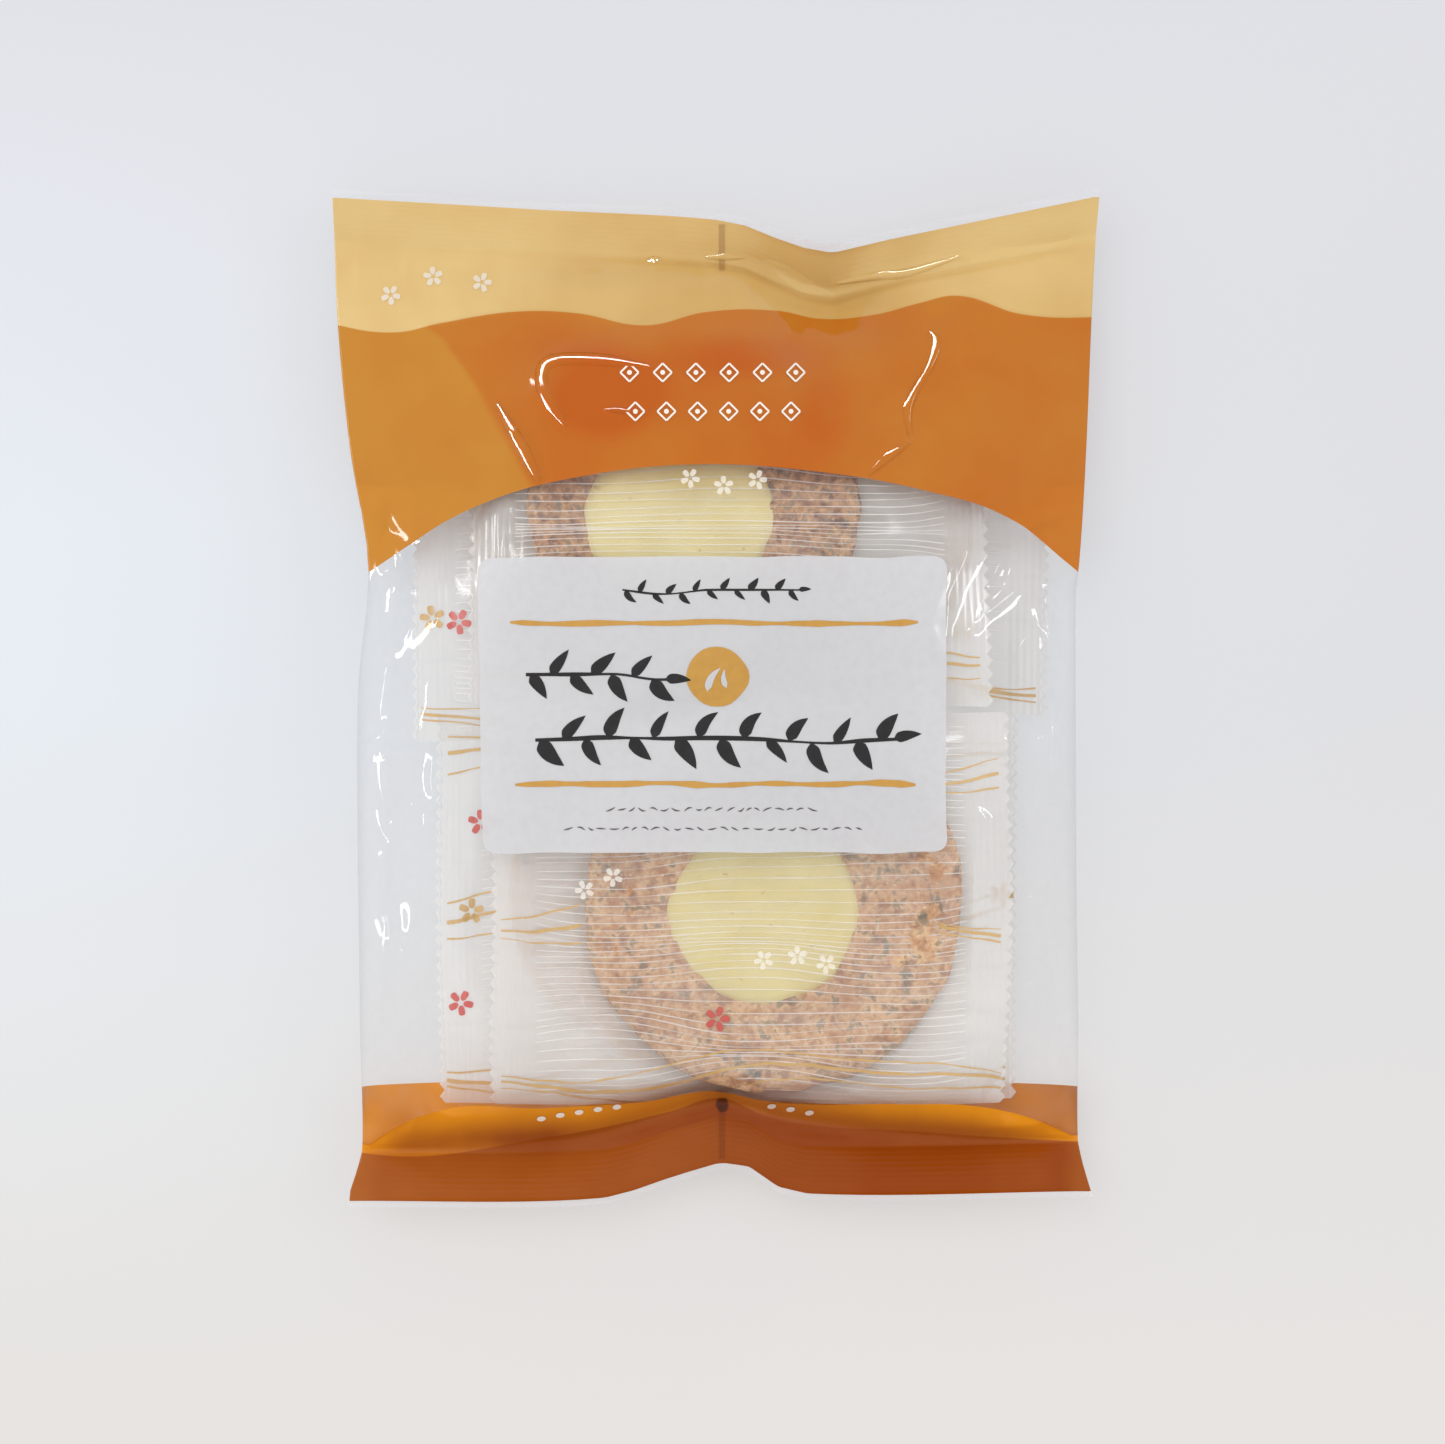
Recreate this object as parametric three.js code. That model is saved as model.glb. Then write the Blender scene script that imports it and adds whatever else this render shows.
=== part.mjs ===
// A sealed pillow bag of individually wrapped rice crackers, lying on its back.
//
// The bag is one tube of clear film, heat-sealed flat across both ends, with a seam
// down the middle of its back. The solid is the outside form of the filled bag: the
// belly that the contents hold up, the flat ears beside the headspace, the two end
// fins that buckle in the middle, and the flat patch of back that it rests on.
//
// Millimetres, +Z up. +X runs across the bag and +Y runs up its face, from the
// bottom fin to the top one. The origin is under the middle of the bag, on the floor.

import * as THREE from "three";

// ---------------------------------------------------------------- driving sizes

const FLAT_HALF_WIDTH = 65; // half the width of the flattened tube, at the end fins
const FIN_THICKNESS = 0.6; // two fused films, drawn thick enough to be a solid
const SIDE_HEIGHT = 15; // how high the bag's sides stand above the floor
const BELLY_RISE = 22; // how far the front bulges above the height of the sides
const SEAM_WIDTH = 12; // the back seam's lapped strip
const SEAM_PROUD = 0.7; // how far that strip stands off the back, where nothing presses it
const COLUMNS = 40; // the grid of faces on each side of the bag
const FIN_ROWS = 3;
const BODY_ROWS = 46;

// Outlines seen from the front, as [x, y] stations that a smooth curve runs through.
const TOP_EDGE = [[-65, 86], [-33, 84.4], [2, 82.2], [12, 78.6], [19.5, 76.6], [28, 78.8], [65, 86]];
const TOP_SEAL = [[-65, 77.3], [-46, 74.8], [7, 74.4], [16, 70.2], [23, 70.4], [35, 73.2], [65, 78.4]];
const BOTTOM_SEAL = [[-65, -77.8], [-27, -74.8], [-11, -71], [1, -68.6], [9, -71], [37, -74.3], [65, -76]];
const BOTTOM_EDGE = [[-65, -86], [-21, -85.8], [-8, -82.4], [2.5, -80], [7, -82], [12.5, -85], [65, -84.4]];

// The two sides, as [y, x] stations.
const LEFT_SIDE = [[-86, -62.4], [-76, -60.2], [0, -60.4], [22, -58.6], [42, -61.8], [64, -64.2], [86, -65]];
const RIGHT_SIDE = [[-86, 64], [-75, 61.8], [16, 60.8], [24, 61.6], [44, 62.8], [64, 63.8], [86, 65]];

// Heights above the floor along the fins, as [x, z] stations.
const TOP_EDGE_HEIGHT = [[-65, 13], [-20, 10.5], [4, 12], [19, 14], [30, 11], [65, 15]];
const TOP_SEAL_HEIGHT = [[-65, 11], [-20, 9.5], [4, 10], [17, 7], [30, 8.5], [65, 12]];
const BOTTOM_SEAL_HEIGHT = [[-65, 9], [-20, 8], [1, 6.5], [20, 8], [65, 9]];
const BOTTOM_EDGE_HEIGHT = [[-65, 16.5], [-22, 14.5], [2, 10], [14, 13.5], [65, 16]];

// Along the body, from the bottom seal (0) to the top seal (1): how much of the full
// bulge the front and the back have there. The contents settle towards the bottom.
const FRONT_FILL = [[0, 0], [0.02, 0.38], [0.045, 0.66], [0.09, 0.86], [0.2, 0.97], [0.42, 1],
  [0.64, 0.98], [0.77, 0.87], [0.88, 0.64], [0.95, 0.36], [1, 0]];
const BACK_FILL = [[0, 0], [0.03, 0.5], [0.1, 1.1], [0.25, 1.5], [0.6, 1.5], [0.8, 1.1],
  [0.93, 0.5], [1, 0]];

// The ears are flat facets of film beside the bulge, where nothing holds it up. Each is
// how steeply the film may rise from the bag's side, as [y, rise per run] stations.
const LEFT_EAR = [[-78, 0.8], [-66, 3], [-4, 3], [12, 1.3], [26, 0.66], [44, 0.56], [78, 0.5]];
const RIGHT_EAR = [[-78, 0.8], [-66, 3], [-8, 3], [6, 1.3], [20, 0.6], [40, 0.48], [78, 0.36]];
const EAR_SHARPNESS = 7; // how crisp the ridge is between an ear and the bulge

// The two wrapped packs that lie on top push the front film up: their middles, their
// half sizes, and the round crackers inside them.
const FRONT_PACKS = [
  { x: 2.5, y: 31.5, halfLength: 43, halfHeight: 32, crackerX: -6.5, crackerRadius: 30.5 },
  { x: 5.8, y: -34.4, halfLength: 43, halfHeight: 32, crackerX: 9.7, crackerRadius: 30.2 },
];
const PACK_RELIEF = 0.6; // step in the film round a pack
const CRACKER_RELIEF = 1.3; // step in the film over a cracker

// Dents and folds pressed into the front film: the two ends, the depth and the width.
const FOLDS = [
  { from: [37, 66], to: [33, 45], depth: 2.2, width: 5 },
  { from: [33, 45], to: [24, 34], depth: 1.8, width: 5 },
  { from: [13, 69], to: [36, 61], depth: 2.2, width: 5.5 },
  { from: [-30, 60], to: [14, 62], depth: 1.4, width: 6 },
  { from: [51, 29], to: [43, 11], depth: 1.6, width: 5.5 },
  { from: [-56, 12], to: [-50, -14], depth: 1.4, width: 6 },
  { from: [57, -6], to: [52, -30], depth: 1.4, width: 6 },
  { from: [-55, -34], to: [-49, -58], depth: 1.4, width: 6 },
  { from: [54, -44], to: [47, -64], depth: 1.4, width: 6 },
];

// Colours of the print, and of the clear film over its pale contents.
const TAN_INK = new THREE.Color("#dcba7c");
const ORANGE_INK = new THREE.Color("#c8772c");
const LABEL_WHITE = new THREE.Color("#e4e2e2");
const CLEAR_FILM = new THREE.Color("#dddad4");
const LABEL = { left: -40, right: 39.4, top: 23, bottom: -26 };
const TAN_DEPTH = 21.5; // from the top edge to the wave where tan meets orange
const TAN_WAVE = { height: 1.6, length: 50 };
const ARCH_MIDDLE = 39.8; // the orange header's lower edge on the centre line
const ARCH_DROP = 17.2; // and how much lower it is at the sides
const FOOTER_EDGE = -66; // the orange footer's upper edge at the sides
const FOOTER_SAG = 3.6; // and how much lower it is in the middle

// ---------------------------------------------------------------- shape functions

/** A smooth curve through [at, value] stations, held level past both ends. */
function along(stations, at) {
  const last = stations.length - 1;
  if (at <= stations[0][0]) return stations[0][1];
  if (at >= stations[last][0]) return stations[last][1];
  const i = stations.findIndex(([where]) => where > at) - 1;
  const slope = (k) => {
    const [a, b] = [stations[Math.max(k - 1, 0)], stations[Math.min(k + 1, last)]];
    return (b[1] - a[1]) / (b[0] - a[0]);
  };
  const [[x0, y0], [x1, y1]] = [stations[i], stations[i + 1]];
  const span = x1 - x0;
  const t = (at - x0) / span;
  const leave = 1 - t;
  return y0 * (1 + 2 * t) * leave * leave + slope(i) * span * t * leave * leave
    + y1 * t * t * (3 - 2 * t) - slope(i + 1) * span * t * t * leave;
}

const mix = (a, b, t) => a + (b - a) * t;
const ease = (low, high, value) => THREE.MathUtils.smoothstep(value, low, high);

/** The lower of two heights, with the ridge between them rounded over. */
function lowerOf(a, b) {
  if (a <= 0 || b <= 0) return 0;
  return 1 / (a ** -EAR_SHARPNESS + b ** -EAR_SHARPNESS) ** (1 / EAR_SHARPNESS);
}

/** How deep the folds press into the film at x, y. */
function foldDepth(x, y) {
  let depth = 0;
  for (const { from, to, depth: deepest, width } of FOLDS) {
    const run = [to[0] - from[0], to[1] - from[1]];
    const share = ((x - from[0]) * run[0] + (y - from[1]) * run[1]) / Math.hypot(...run) ** 2;
    const t = THREE.MathUtils.clamp(share, 0, 1);
    const away = Math.hypot(x - from[0] - t * run[0], y - from[1] - t * run[1]);
    depth = Math.max(depth, deepest * Math.exp(-((away / width) ** 2)));
  }
  return depth;
}

/** How far the packs and crackers under the film lift it at x, y. */
function contentsRelief(x, y) {
  let lift = 0;
  for (const pack of FRONT_PACKS) {
    const inside = Math.min(pack.halfLength - Math.abs(x - pack.x), pack.halfHeight - Math.abs(y - pack.y));
    const fromCracker = Math.hypot(x - pack.crackerX, y - pack.y);
    const cracker = CRACKER_RELIEF * (1 - ease(pack.crackerRadius - 3, pack.crackerRadius + 5, fromCracker));
    lift = Math.max(lift, PACK_RELIEF * ease(-4, 3, inside) + cracker);
  }
  return lift;
}

/** A point of an end fin. s runs across, -1 to 1, and out from the seal (0) to the cut edge (1). */
function finPoint(s, out, top, front) {
  const nominal = s * FLAT_HALF_WIDTH;
  const [seal, edge] = top ? [TOP_SEAL, TOP_EDGE] : [BOTTOM_SEAL, BOTTOM_EDGE];
  const [sealHeight, edgeHeight] = top
    ? [TOP_SEAL_HEIGHT, TOP_EDGE_HEIGHT]
    : [BOTTOM_SEAL_HEIGHT, BOTTOM_EDGE_HEIGHT];
  const y = mix(along(seal, nominal), along(edge, nominal), out);
  const x = mix(along(LEFT_SIDE, y), along(RIGHT_SIDE, y), (s + 1) / 2);
  const z = mix(along(sealHeight, nominal), along(edgeHeight, nominal), out);
  return [x, y, z + (front ? FIN_THICKNESS : -FIN_THICKNESS) / 2];
}

/** A point of the filled body. up runs from the bottom seal (0) to the top seal (1). */
function bodyPoint(s, up, front) {
  const nominal = s * FLAT_HALF_WIDTH;
  const y = mix(along(BOTTOM_SEAL, nominal), along(TOP_SEAL, nominal), up);
  const [left, right] = [along(LEFT_SIDE, y), along(RIGHT_SIDE, y)];
  const x = mix(left, right, (s + 1) / 2);
  const sealHeight = mix(along(BOTTOM_SEAL_HEIGHT, nominal), along(TOP_SEAL_HEIGHT, nominal), up);
  const settled = ease(0, 0.16, up) * (1 - ease(0.7, 1, up)); // 1 where the belly lies on the floor
  const middle = mix(sealHeight, SIDE_HEIGHT, settled);
  const section = Math.max(0, 1 - s * s) ** mix(0.8, 0.5, settled); // a lens, or an ellipse at the belly

  if (front) {
    const bulge = BELLY_RISE * along(FRONT_FILL, up) * section;
    const ear = x < (left + right) / 2
      ? (x - left) * along(LEFT_EAR, y)
      : (right - x) * along(RIGHT_EAR, y);
    const film = lowerOf(bulge, ear);
    const held = bulge > 0 ? (film / bulge) ** 2 * ease(0.02, 0.1, up) * (1 - ease(0.88, 1, up)) : 0;
    const slack = Math.min(1, film / 6);
    const relief = contentsRelief(x, y) * held - foldDepth(x, y) * slack;
    return [x, y, middle + FIN_THICKNESS / 2 + film + relief];
  }
  const lifted = Math.max(0, 1 - along(BACK_FILL, up) * section) ** 1.5;
  const strip = 1 - ease(SEAM_WIDTH / 2 - 0.5, SEAM_WIDTH / 2 + 2, Math.abs(x));
  return [x, y, Math.max(0, (middle - FIN_THICKNESS / 2) * lifted - SEAM_PROUD * strip)];
}

/** A point of the bag's skin, by rows from the bottom edge (0) to the top edge (1). */
function skinPoint(s, row, front) {
  const fin = FIN_ROWS / (BODY_ROWS + 2 * FIN_ROWS);
  if (row <= fin) return finPoint(s, (fin - row) / fin, false, front);
  if (row >= 1 - fin) return finPoint(s, (row - 1 + fin) / fin, true, front);
  const even = (row - fin) / (1 - 2 * fin);
  const up = even - (0.6 * Math.sin(2 * Math.PI * even)) / (2 * Math.PI); // closer rows at the seals
  return bodyPoint(s, up, front);
}

// ---------------------------------------------------------------- print

/** The colour of the print, or of the bare film, at x, y. */
function inkAt(x, y, front) {
  const bow = (x / FLAT_HALF_WIDTH) ** 2;
  const wave = TAN_WAVE.height * Math.sin((2 * Math.PI * x) / TAN_WAVE.length);
  if (y > along(TOP_EDGE, x) - TAN_DEPTH + wave) return TAN_INK;
  if (y > ARCH_MIDDLE - ARCH_DROP * bow) return ORANGE_INK;
  if (y < FOOTER_EDGE - FOOTER_SAG * (1 - bow)) return ORANGE_INK;
  const labelled = front && x > LABEL.left && x < LABEL.right && y < LABEL.top && y > LABEL.bottom;
  return labelled ? LABEL_WHITE : CLEAR_FILM;
}

// ---------------------------------------------------------------- the bag

/** The bag's skin: a box's grid of faces, moved onto the shape and coloured. */
function makeBag() {
  const geometry = new THREE.BoxGeometry(2, 2, 2, COLUMNS, BODY_ROWS + 2 * FIN_ROWS, 1);
  const position = geometry.getAttribute("position");
  const colours = new Float32Array(position.count * 3);
  for (let i = 0; i < position.count; i++) {
    const s = Math.sin((position.getX(i) * Math.PI) / 2); // closer columns at the round sides
    const front = position.getZ(i) > 0;
    const [x, y, z] = skinPoint(s, (position.getY(i) + 1) / 2, front);
    position.setXYZ(i, x, y, z);
    inkAt(x, y, front).toArray(colours, i * 3);
  }
  geometry.setAttribute("color", new THREE.BufferAttribute(colours, 3));
  geometry.computeVertexNormals();
  const film = new THREE.MeshStandardMaterial({ vertexColors: true, roughness: 0.25, metalness: 0 });
  const bag = new THREE.Mesh(geometry, film);
  bag.name = "bag";
  return bag;
}

const part = new THREE.Group();
part.add(makeBag());

export default part;
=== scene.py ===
"""The looks of a sealed clear pillow bag of individually wrapped rice crackers.

The bag lies on its back with its printed face up. +Z is up, +Y runs up the bag's face
and +X to the right as the face is read. Shapes are worked out in millimetres and
divided down to metres when their mesh is made.
"""

import math
from types import SimpleNamespace

import bpy
import numpy as np
from mathutils import Matrix, Vector
from mathutils.bvhtree import BVHTree


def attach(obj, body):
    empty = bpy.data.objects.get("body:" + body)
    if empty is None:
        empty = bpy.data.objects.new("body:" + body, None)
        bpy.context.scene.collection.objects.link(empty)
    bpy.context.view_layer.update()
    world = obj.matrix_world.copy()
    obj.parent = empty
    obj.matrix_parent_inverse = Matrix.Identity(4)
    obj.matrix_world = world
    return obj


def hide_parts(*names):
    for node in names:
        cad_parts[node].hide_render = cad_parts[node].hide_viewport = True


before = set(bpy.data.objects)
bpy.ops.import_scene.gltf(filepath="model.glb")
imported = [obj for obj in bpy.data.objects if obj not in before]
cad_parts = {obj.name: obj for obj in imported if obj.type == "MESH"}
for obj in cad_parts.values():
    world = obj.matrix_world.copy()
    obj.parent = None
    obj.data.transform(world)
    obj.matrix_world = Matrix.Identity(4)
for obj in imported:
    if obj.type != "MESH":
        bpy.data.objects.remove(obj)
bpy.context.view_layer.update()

# ---------------- camera
# A camera straight above the bag's face, with the whole bag and some floor round it.
# What it sees at the height of the end seals is 245.7 mm wide.

LENS, SENSOR = 85, 36  # mm
SEAL_HEIGHT = 11  # mm above the floor
VIEW_WIDTH = 245.7  # mm, at that height
EYE = (1.2, -4.25, SEAL_HEIGHT + VIEW_WIDTH * LENS / SENSOR)  # mm

scene = bpy.context.scene
camera = bpy.data.objects.new("camera", bpy.data.cameras.new("camera"))
scene.collection.objects.link(camera)
camera.data.lens = LENS
camera.data.sensor_width = SENSOR
camera.location = [v / 1000 for v in EYE]
scene.camera = camera

# ---------------- light
# A pale room, two soft lights above that the film doesn't mirror, and small bright boxes
# low round the bag, which only the steep sides of the film's folds mirror, as glints.


def linear(hex_colour):
    """A '#rrggbb' colour as linear red, green, blue and alpha."""
    parts = [int(hex_colour[i : i + 2], 16) / 255 for i in (1, 3, 5)]
    return (*(c / 12.92 if c <= 0.04045 else ((c + 0.055) / 1.055) ** 2.4 for c in parts), 1.0)


world = bpy.data.worlds.new("pale_room")
world.use_nodes = True
world.node_tree.nodes["Background"].inputs["Color"].default_value = linear("#f6f7fb")
world.node_tree.nodes["Background"].inputs["Strength"].default_value = 0.83
scene.world = world


BAG_MIDDLE = Vector((0, 0, 0.02))  # m


def soft_box(name, place, size, power, along=None, mirrored=True):
    """A rectangular light that faces the bag from a place, its first side turned along a
    direction, which glossy things mirror or don't. In metres and watts."""
    light = bpy.data.lights.new(name, "AREA")
    light.shape = "RECTANGLE"
    light.size, light.size_y = size
    light.energy = power
    lamp = bpy.data.objects.new(name, light)
    lamp.location = place
    lamp.visible_glossy = mirrored
    back = (Vector(place) - BAG_MIDDLE).normalized()
    side = Vector(along) if along else Vector((-back.y, back.x, 0))
    side = (side - back * side.dot(back)).normalized()
    lamp.rotation_euler = Matrix((side, back.cross(side), back)).transposed().to_euler()
    scene.collection.objects.link(lamp)
    return lamp


soft_box("overhead", (-0.28, 0.20, 1.3), (0.9, 0.9), 6.4, mirrored=False)
soft_box("fill", (0.80, 0.10, 0.75), (0.45, 0.45), 1.1, mirrored=False)
soft_box("left_box", (-1.02, 0.09, 0.10), (0.40, 0.06), 1.7)
soft_box("corner_box", (-0.70, 0.78, 0.09), (0.20, 0.05), 0.9)
soft_box("right_box", (0.93, 0.42, 0.19), (0.30, 0.07), 1.3, along=(-0.11, 0.30, -0.14))

scene.view_settings.view_transform = "Standard"
scene.view_settings.look = "None"
scene.cycles.use_denoising = True
scene.cycles.max_bounces = 6
scene.cycles.diffuse_bounces = 3
scene.cycles.glossy_bounces = 3
scene.cycles.transparent_max_bounces = 24
scene.cycles.sample_clamp_indirect = 2.0

# ---------------- floor
# A light table: a plain pale sheet that is lit a little from below, so that shadows on it
# stay soft. Its tone is painted light and shade: slightly cool at the left and warm towards the front.


def add(material, kind, inputs=(), out=0, **settings):
    """Adds a shader node to a material and returns one of its outputs.

    inputs are values or other nodes' outputs, in the order of the node's sockets or
    by socket in a dict, and settings are the node's own."""
    tree = material.node_tree
    node = tree.nodes.new("ShaderNode" + kind)
    for name, value in settings.items():
        setattr(node, name, value)
    for key, value in inputs.items() if isinstance(inputs, dict) else enumerate(inputs):
        if isinstance(value, bpy.types.NodeSocket):
            tree.links.new(value, node.inputs[key])
        else:
            node.inputs[key].default_value = value
    return node.outputs[out] if len(node.outputs) else node


def new_material(name):
    material = bpy.data.materials.new(name)
    material.use_nodes = True
    material.node_tree.nodes.clear()
    return material


LIT_FROM_BELOW = 0.6  # share of the sheet's brightness that comes through it


def opal_sheet():
    """Opal acrylic with a matt face: no gloss, and painted light and shade that shift its tone a little
    across it.
    """
    m = new_material("opal_sheet")
    place = add(m, "TexCoord", out="Object")
    across = add(m, "SeparateXYZ", (place,), out="X")
    along = add(m, "SeparateXYZ", (place,), out="Y")
    tone = linear("#e2e7ec")
    # To the right, to the front and to the back: between which places in metres, and how far.
    for way, start, end, most, colour in (
        (across, -0.12, 0.12, 1.0, "#dadadc"),
        (along, 0.0, -0.12, 1.0, "#e1deda"),
        (along, 0.03, 0.12, 0.8, "#d8d8dd"),
    ):
        share = add(m, "MapRange", {"Value": way, "From Min": start, "From Max": end, "To Max": most})
        tone = add(m, "Mix", {0: share, 6: tone, 7: linear(colour)}, out=2, data_type="RGBA")
    lit = add(m, "Mix", {0: LIT_FROM_BELOW, 6: tone, 7: (0, 0, 0, 1)}, out=2, data_type="RGBA")
    surface = add(m, "BsdfPrincipled", {"Base Color": lit, "Roughness": 0.8, "Specular IOR Level": 0.2,
                                        "Emission Color": tone, "Emission Strength": LIT_FROM_BELOW})
    add(m, "OutputMaterial", (surface,))
    return m


FLOOR_HALF, FLOOR_DROP = 2, 0.0002  # m
corners = [(x * FLOOR_HALF, y * FLOOR_HALF, 0) for x, y in ((-1, -1), (1, -1), (1, 1), (-1, 1))]
floor_mesh = bpy.data.meshes.new("floor")
floor_mesh.from_pydata(corners, [], [(0, 1, 2, 3)])
floor_mesh.materials.append(opal_sheet())
floor = bpy.data.objects.new("floor", floor_mesh)
floor.location.z = -FLOOR_DROP
scene.collection.objects.link(floor)

# ---------------- front film
# The face of the bag's tube: thin clear film, fused flat at both ends with fine ribs,
# printed tan and orange across the top and orange across the bottom, and creased where
# the contents pull at it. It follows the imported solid, whose outline and height are felt
# for with rays.

FIN = 8.6  # mm, how far the ribbed seal reaches in from the cut edge
FUSED_HALF = 0.1  # mm from the middle of a seal to each of its two films
RIB_PITCH, TOP_RIB, BOTTOM_RIB = 0.86, 0.008, 0.012  # mm
BOTTOM_MARGIN, TOP_MARGIN = 1.0, 1.35  # mm left clear along the cut edges
HALF_WIDTH = 62  # mm

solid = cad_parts["bag"].data
skin = BVHTree.FromPolygons([v.co for v in solid.vertices], [p.vertices for p in solid.polygons])


def touch(x, y, above=True):
    """Height of the solid's front, or of its back, at x, y, or None beside the solid. In mm."""
    start = Vector((x / 1000, y / 1000, 0.2 if above else -0.2))
    found = skin.ray_cast(start, Vector((0, 0, -1 if above else 1)))[0]
    return None if found is None else found.z * 1000


def reach(inside, outside):
    """The last point over the solid on the way from inside to outside."""
    inside, outside = np.array(inside, float), np.array(outside, float)
    for _ in range(12):  # halvings, down to a few micrometres
        middle = (inside + outside) / 2
        if touch(*middle) is None:
            outside = middle
        else:
            inside = middle
    return inside


# The solid's outline: its sides every 2 mm up the bag, and its cut ends every millimetre across.
side_y = np.linspace(-83.5, 84.5, 85)
left_x = np.array([reach((-56, y), (-75, y))[0] for y in side_y])
right_x = np.array([reach((56, y), (75, y))[0] for y in side_y])
top_x = np.linspace(-64, 64, 129)
top_y = np.array([reach((x, 74), (x, 95))[1] for x in top_x])
bottom_x = np.linspace(-60.5, 61, 122)
bottom_y = np.array([reach((x, -79), (x, -95))[1] for x in bottom_x])


def cut_edges(x):
    """The heights up the face of the bag's lower and upper cut edge at each x."""
    return np.interp(x, bottom_x, bottom_y), np.interp(x, top_x, top_y)


def outline_place(across, up):
    """Where a point of the flat bag, across -1 to 1 and up 0 to 1, lies over the floor."""
    x = across * HALF_WIDTH
    for _ in range(4):
        low, high = cut_edges(x)
        y = low + (high - low) * up
        left = np.interp(y, side_y, left_x)
        right = np.interp(y, side_y, right_x)
        x = left + (right - left) * (across + 1) / 2
    return x, y


def heights(x, y, above):
    """The solid's height at each x, y. A point that misses the solid moves in towards the
    middle, in steps of 0.15% of the way, until it meets it."""
    found = np.empty(x.shape)
    for at in np.ndindex(x.shape):
        z, shrink = None, 1.0
        while z is None:
            z = touch(x[at] * shrink, y[at] * shrink, above)
            shrink -= 0.0015
        found[at] = z
    return found


def smoothed(values, cells):
    """values with every point averaged with its neighbours, out to about that many cells."""
    span = int(math.ceil(3 * cells))
    weights = np.exp(-((np.arange(-span, span + 1) / cells) ** 2) / 2)
    weights /= weights.sum()
    for axis in (0, 1):
        pad = [(span, span) if a == axis else (0, 0) for a in (0, 1)]
        padded = np.pad(values, pad, mode="reflect", reflect_type="odd")
        values = np.apply_along_axis(lambda line: np.convolve(line, weights, "valid"), axis, padded)
    return values


def step(low, high, value):
    """0 below low, 1 above high and a smooth rise between."""
    t = np.clip((value - low) / (high - low), 0, 1)
    return t * t * (3 - 2 * t)


def blend(table, i, j, a, b):
    """The value in a table at column i and row j, and shares a and b on towards the next ones."""
    low = table[j, i] * (1 - a) + table[j, i + 1] * a
    high = table[j + 1, i] * (1 - a) + table[j + 1, i + 1] * a
    return low * (1 - b) + high * b


TILE = 64  # cells after which the noise comes round again


def noise(x, y, cell, seed):
    """Smooth random values between -1 and 1, that change over about cell millimetres."""
    table = np.random.default_rng(seed).uniform(-1, 1, (TILE, TILE))
    u, v = x / cell + 10 * TILE, y / cell + 10 * TILE
    i, j = np.floor(u).astype(int), np.floor(v).astype(int)
    a, b = (share**3 * (share * (6 * share - 15) + 10) for share in (u - i, v - j))
    return blend(np.pad(table, (0, 1), mode="wrap"), i % TILE, j % TILE, a, b)


def ridges(x, y, cell, seed, narrow=2.2):
    """Thin wandering ridges, 1 on their crests and 0 on the ground between them."""
    return np.maximum(1 - narrow * np.abs(noise(x, y, cell, seed)), 0)


def seen_from_front(x, y, z):
    """Where a point shows on the bag's face, in mm at the height of the seals."""
    nearer = (EYE[2] - SEAL_HEIGHT) / (EYE[2] - z)
    return EYE[0] + (x - EYE[0]) * nearer, EYE[1] + (y - EYE[1]) * nearer


# Where the print's colours meet, as points in mm on the bag's face.
TAN_EDGE = [(-64, 63.2), (-54.3, 62), (-46.5, 63.6), (-34.3, 65.5), (-23.9, 65.3), (-11.8, 63.2),
            (-1.3, 65.5), (11, 65.6), (17.6, 64.3), (27, 65), (34.8, 67), (41, 68.2), (52, 65.1), (64, 64.6)]
HEADER_EDGE = [(-60, 20.5), (-57.9, 21.9), (-51.9, 26), (-46.3, 29.6), (-37.5, 33.7), (-21.8, 37.7),
               (-2.6, 39.6), (16.9, 38.4), (36.5, 34.9), (47.5, 31.6), (51.6, 29.4), (60.3, 22.4), (62, 21)]
FOOTER_EDGE = [(-62, -78.5), (-60, -77), (-54.2, -73), (-45.5, -70), (-30, -69.9), (-13, -68.9), (1, -67),
               (8, -68.5), (31, -69.2), (43, -69.4), (49, -70.3), (54.2, -71.7), (59.4, -73.9),
               (61.7, -75), (64, -76)]
BACK_FOOTER_TOP, BACK_HEADER_BOTTOM = -66.2, 36  # mm, where the print ends on the back


def curve_through(points, x):
    """The height at each x of a smooth curve through points."""
    px, py = np.array(points, float).T
    slope = np.gradient(py, px)
    k = np.clip(np.searchsorted(px, x) - 1, 0, len(px) - 2)
    width = px[k + 1] - px[k]
    t = np.clip((x - px[k]) / width, 0, 1)
    rise = (1 + 2 * t) * (1 - t) ** 2 * py[k] + t * t * (3 - 2 * t) * py[k + 1]
    return rise + width * (t * (1 - t) ** 2 * slope[k] - t * t * (1 - t) * slope[k + 1])


def crease(x, y, points, height, width):
    """A ridge along a line of points, or below zero a valley, that fades out at its ends."""
    points = np.array(points, float)
    lengths = np.hypot(*np.diff(points, axis=0).T)
    before = np.concatenate([[0], np.cumsum(lengths)])
    nearest, place = np.full(x.shape, np.inf), np.zeros(x.shape)
    for (ax, ay), (bx, by), length, start in zip(points, points[1:], lengths, before):
        share = np.clip(((x - ax) * (bx - ax) + (y - ay) * (by - ay)) / length**2, 0, 1)
        away = np.hypot(x - ax - share * (bx - ax), y - ay - share * (by - ay))
        closer = away < nearest
        nearest = np.where(closer, away, nearest)
        place = np.where(closer, (start + share * length) / before[-1], place)
    blunt = 0.25  # mm, so that the top of a ridge is round and not a cut edge
    profile = np.exp(-(np.sqrt(nearest**2 + blunt**2) - blunt) / width)
    faded = 0.06  # share of its length left out at each end, so that it starts at a low height
    return height * profile * np.sin(np.pi * np.clip(place, faded, 1 - faded)) ** 0.5


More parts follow.
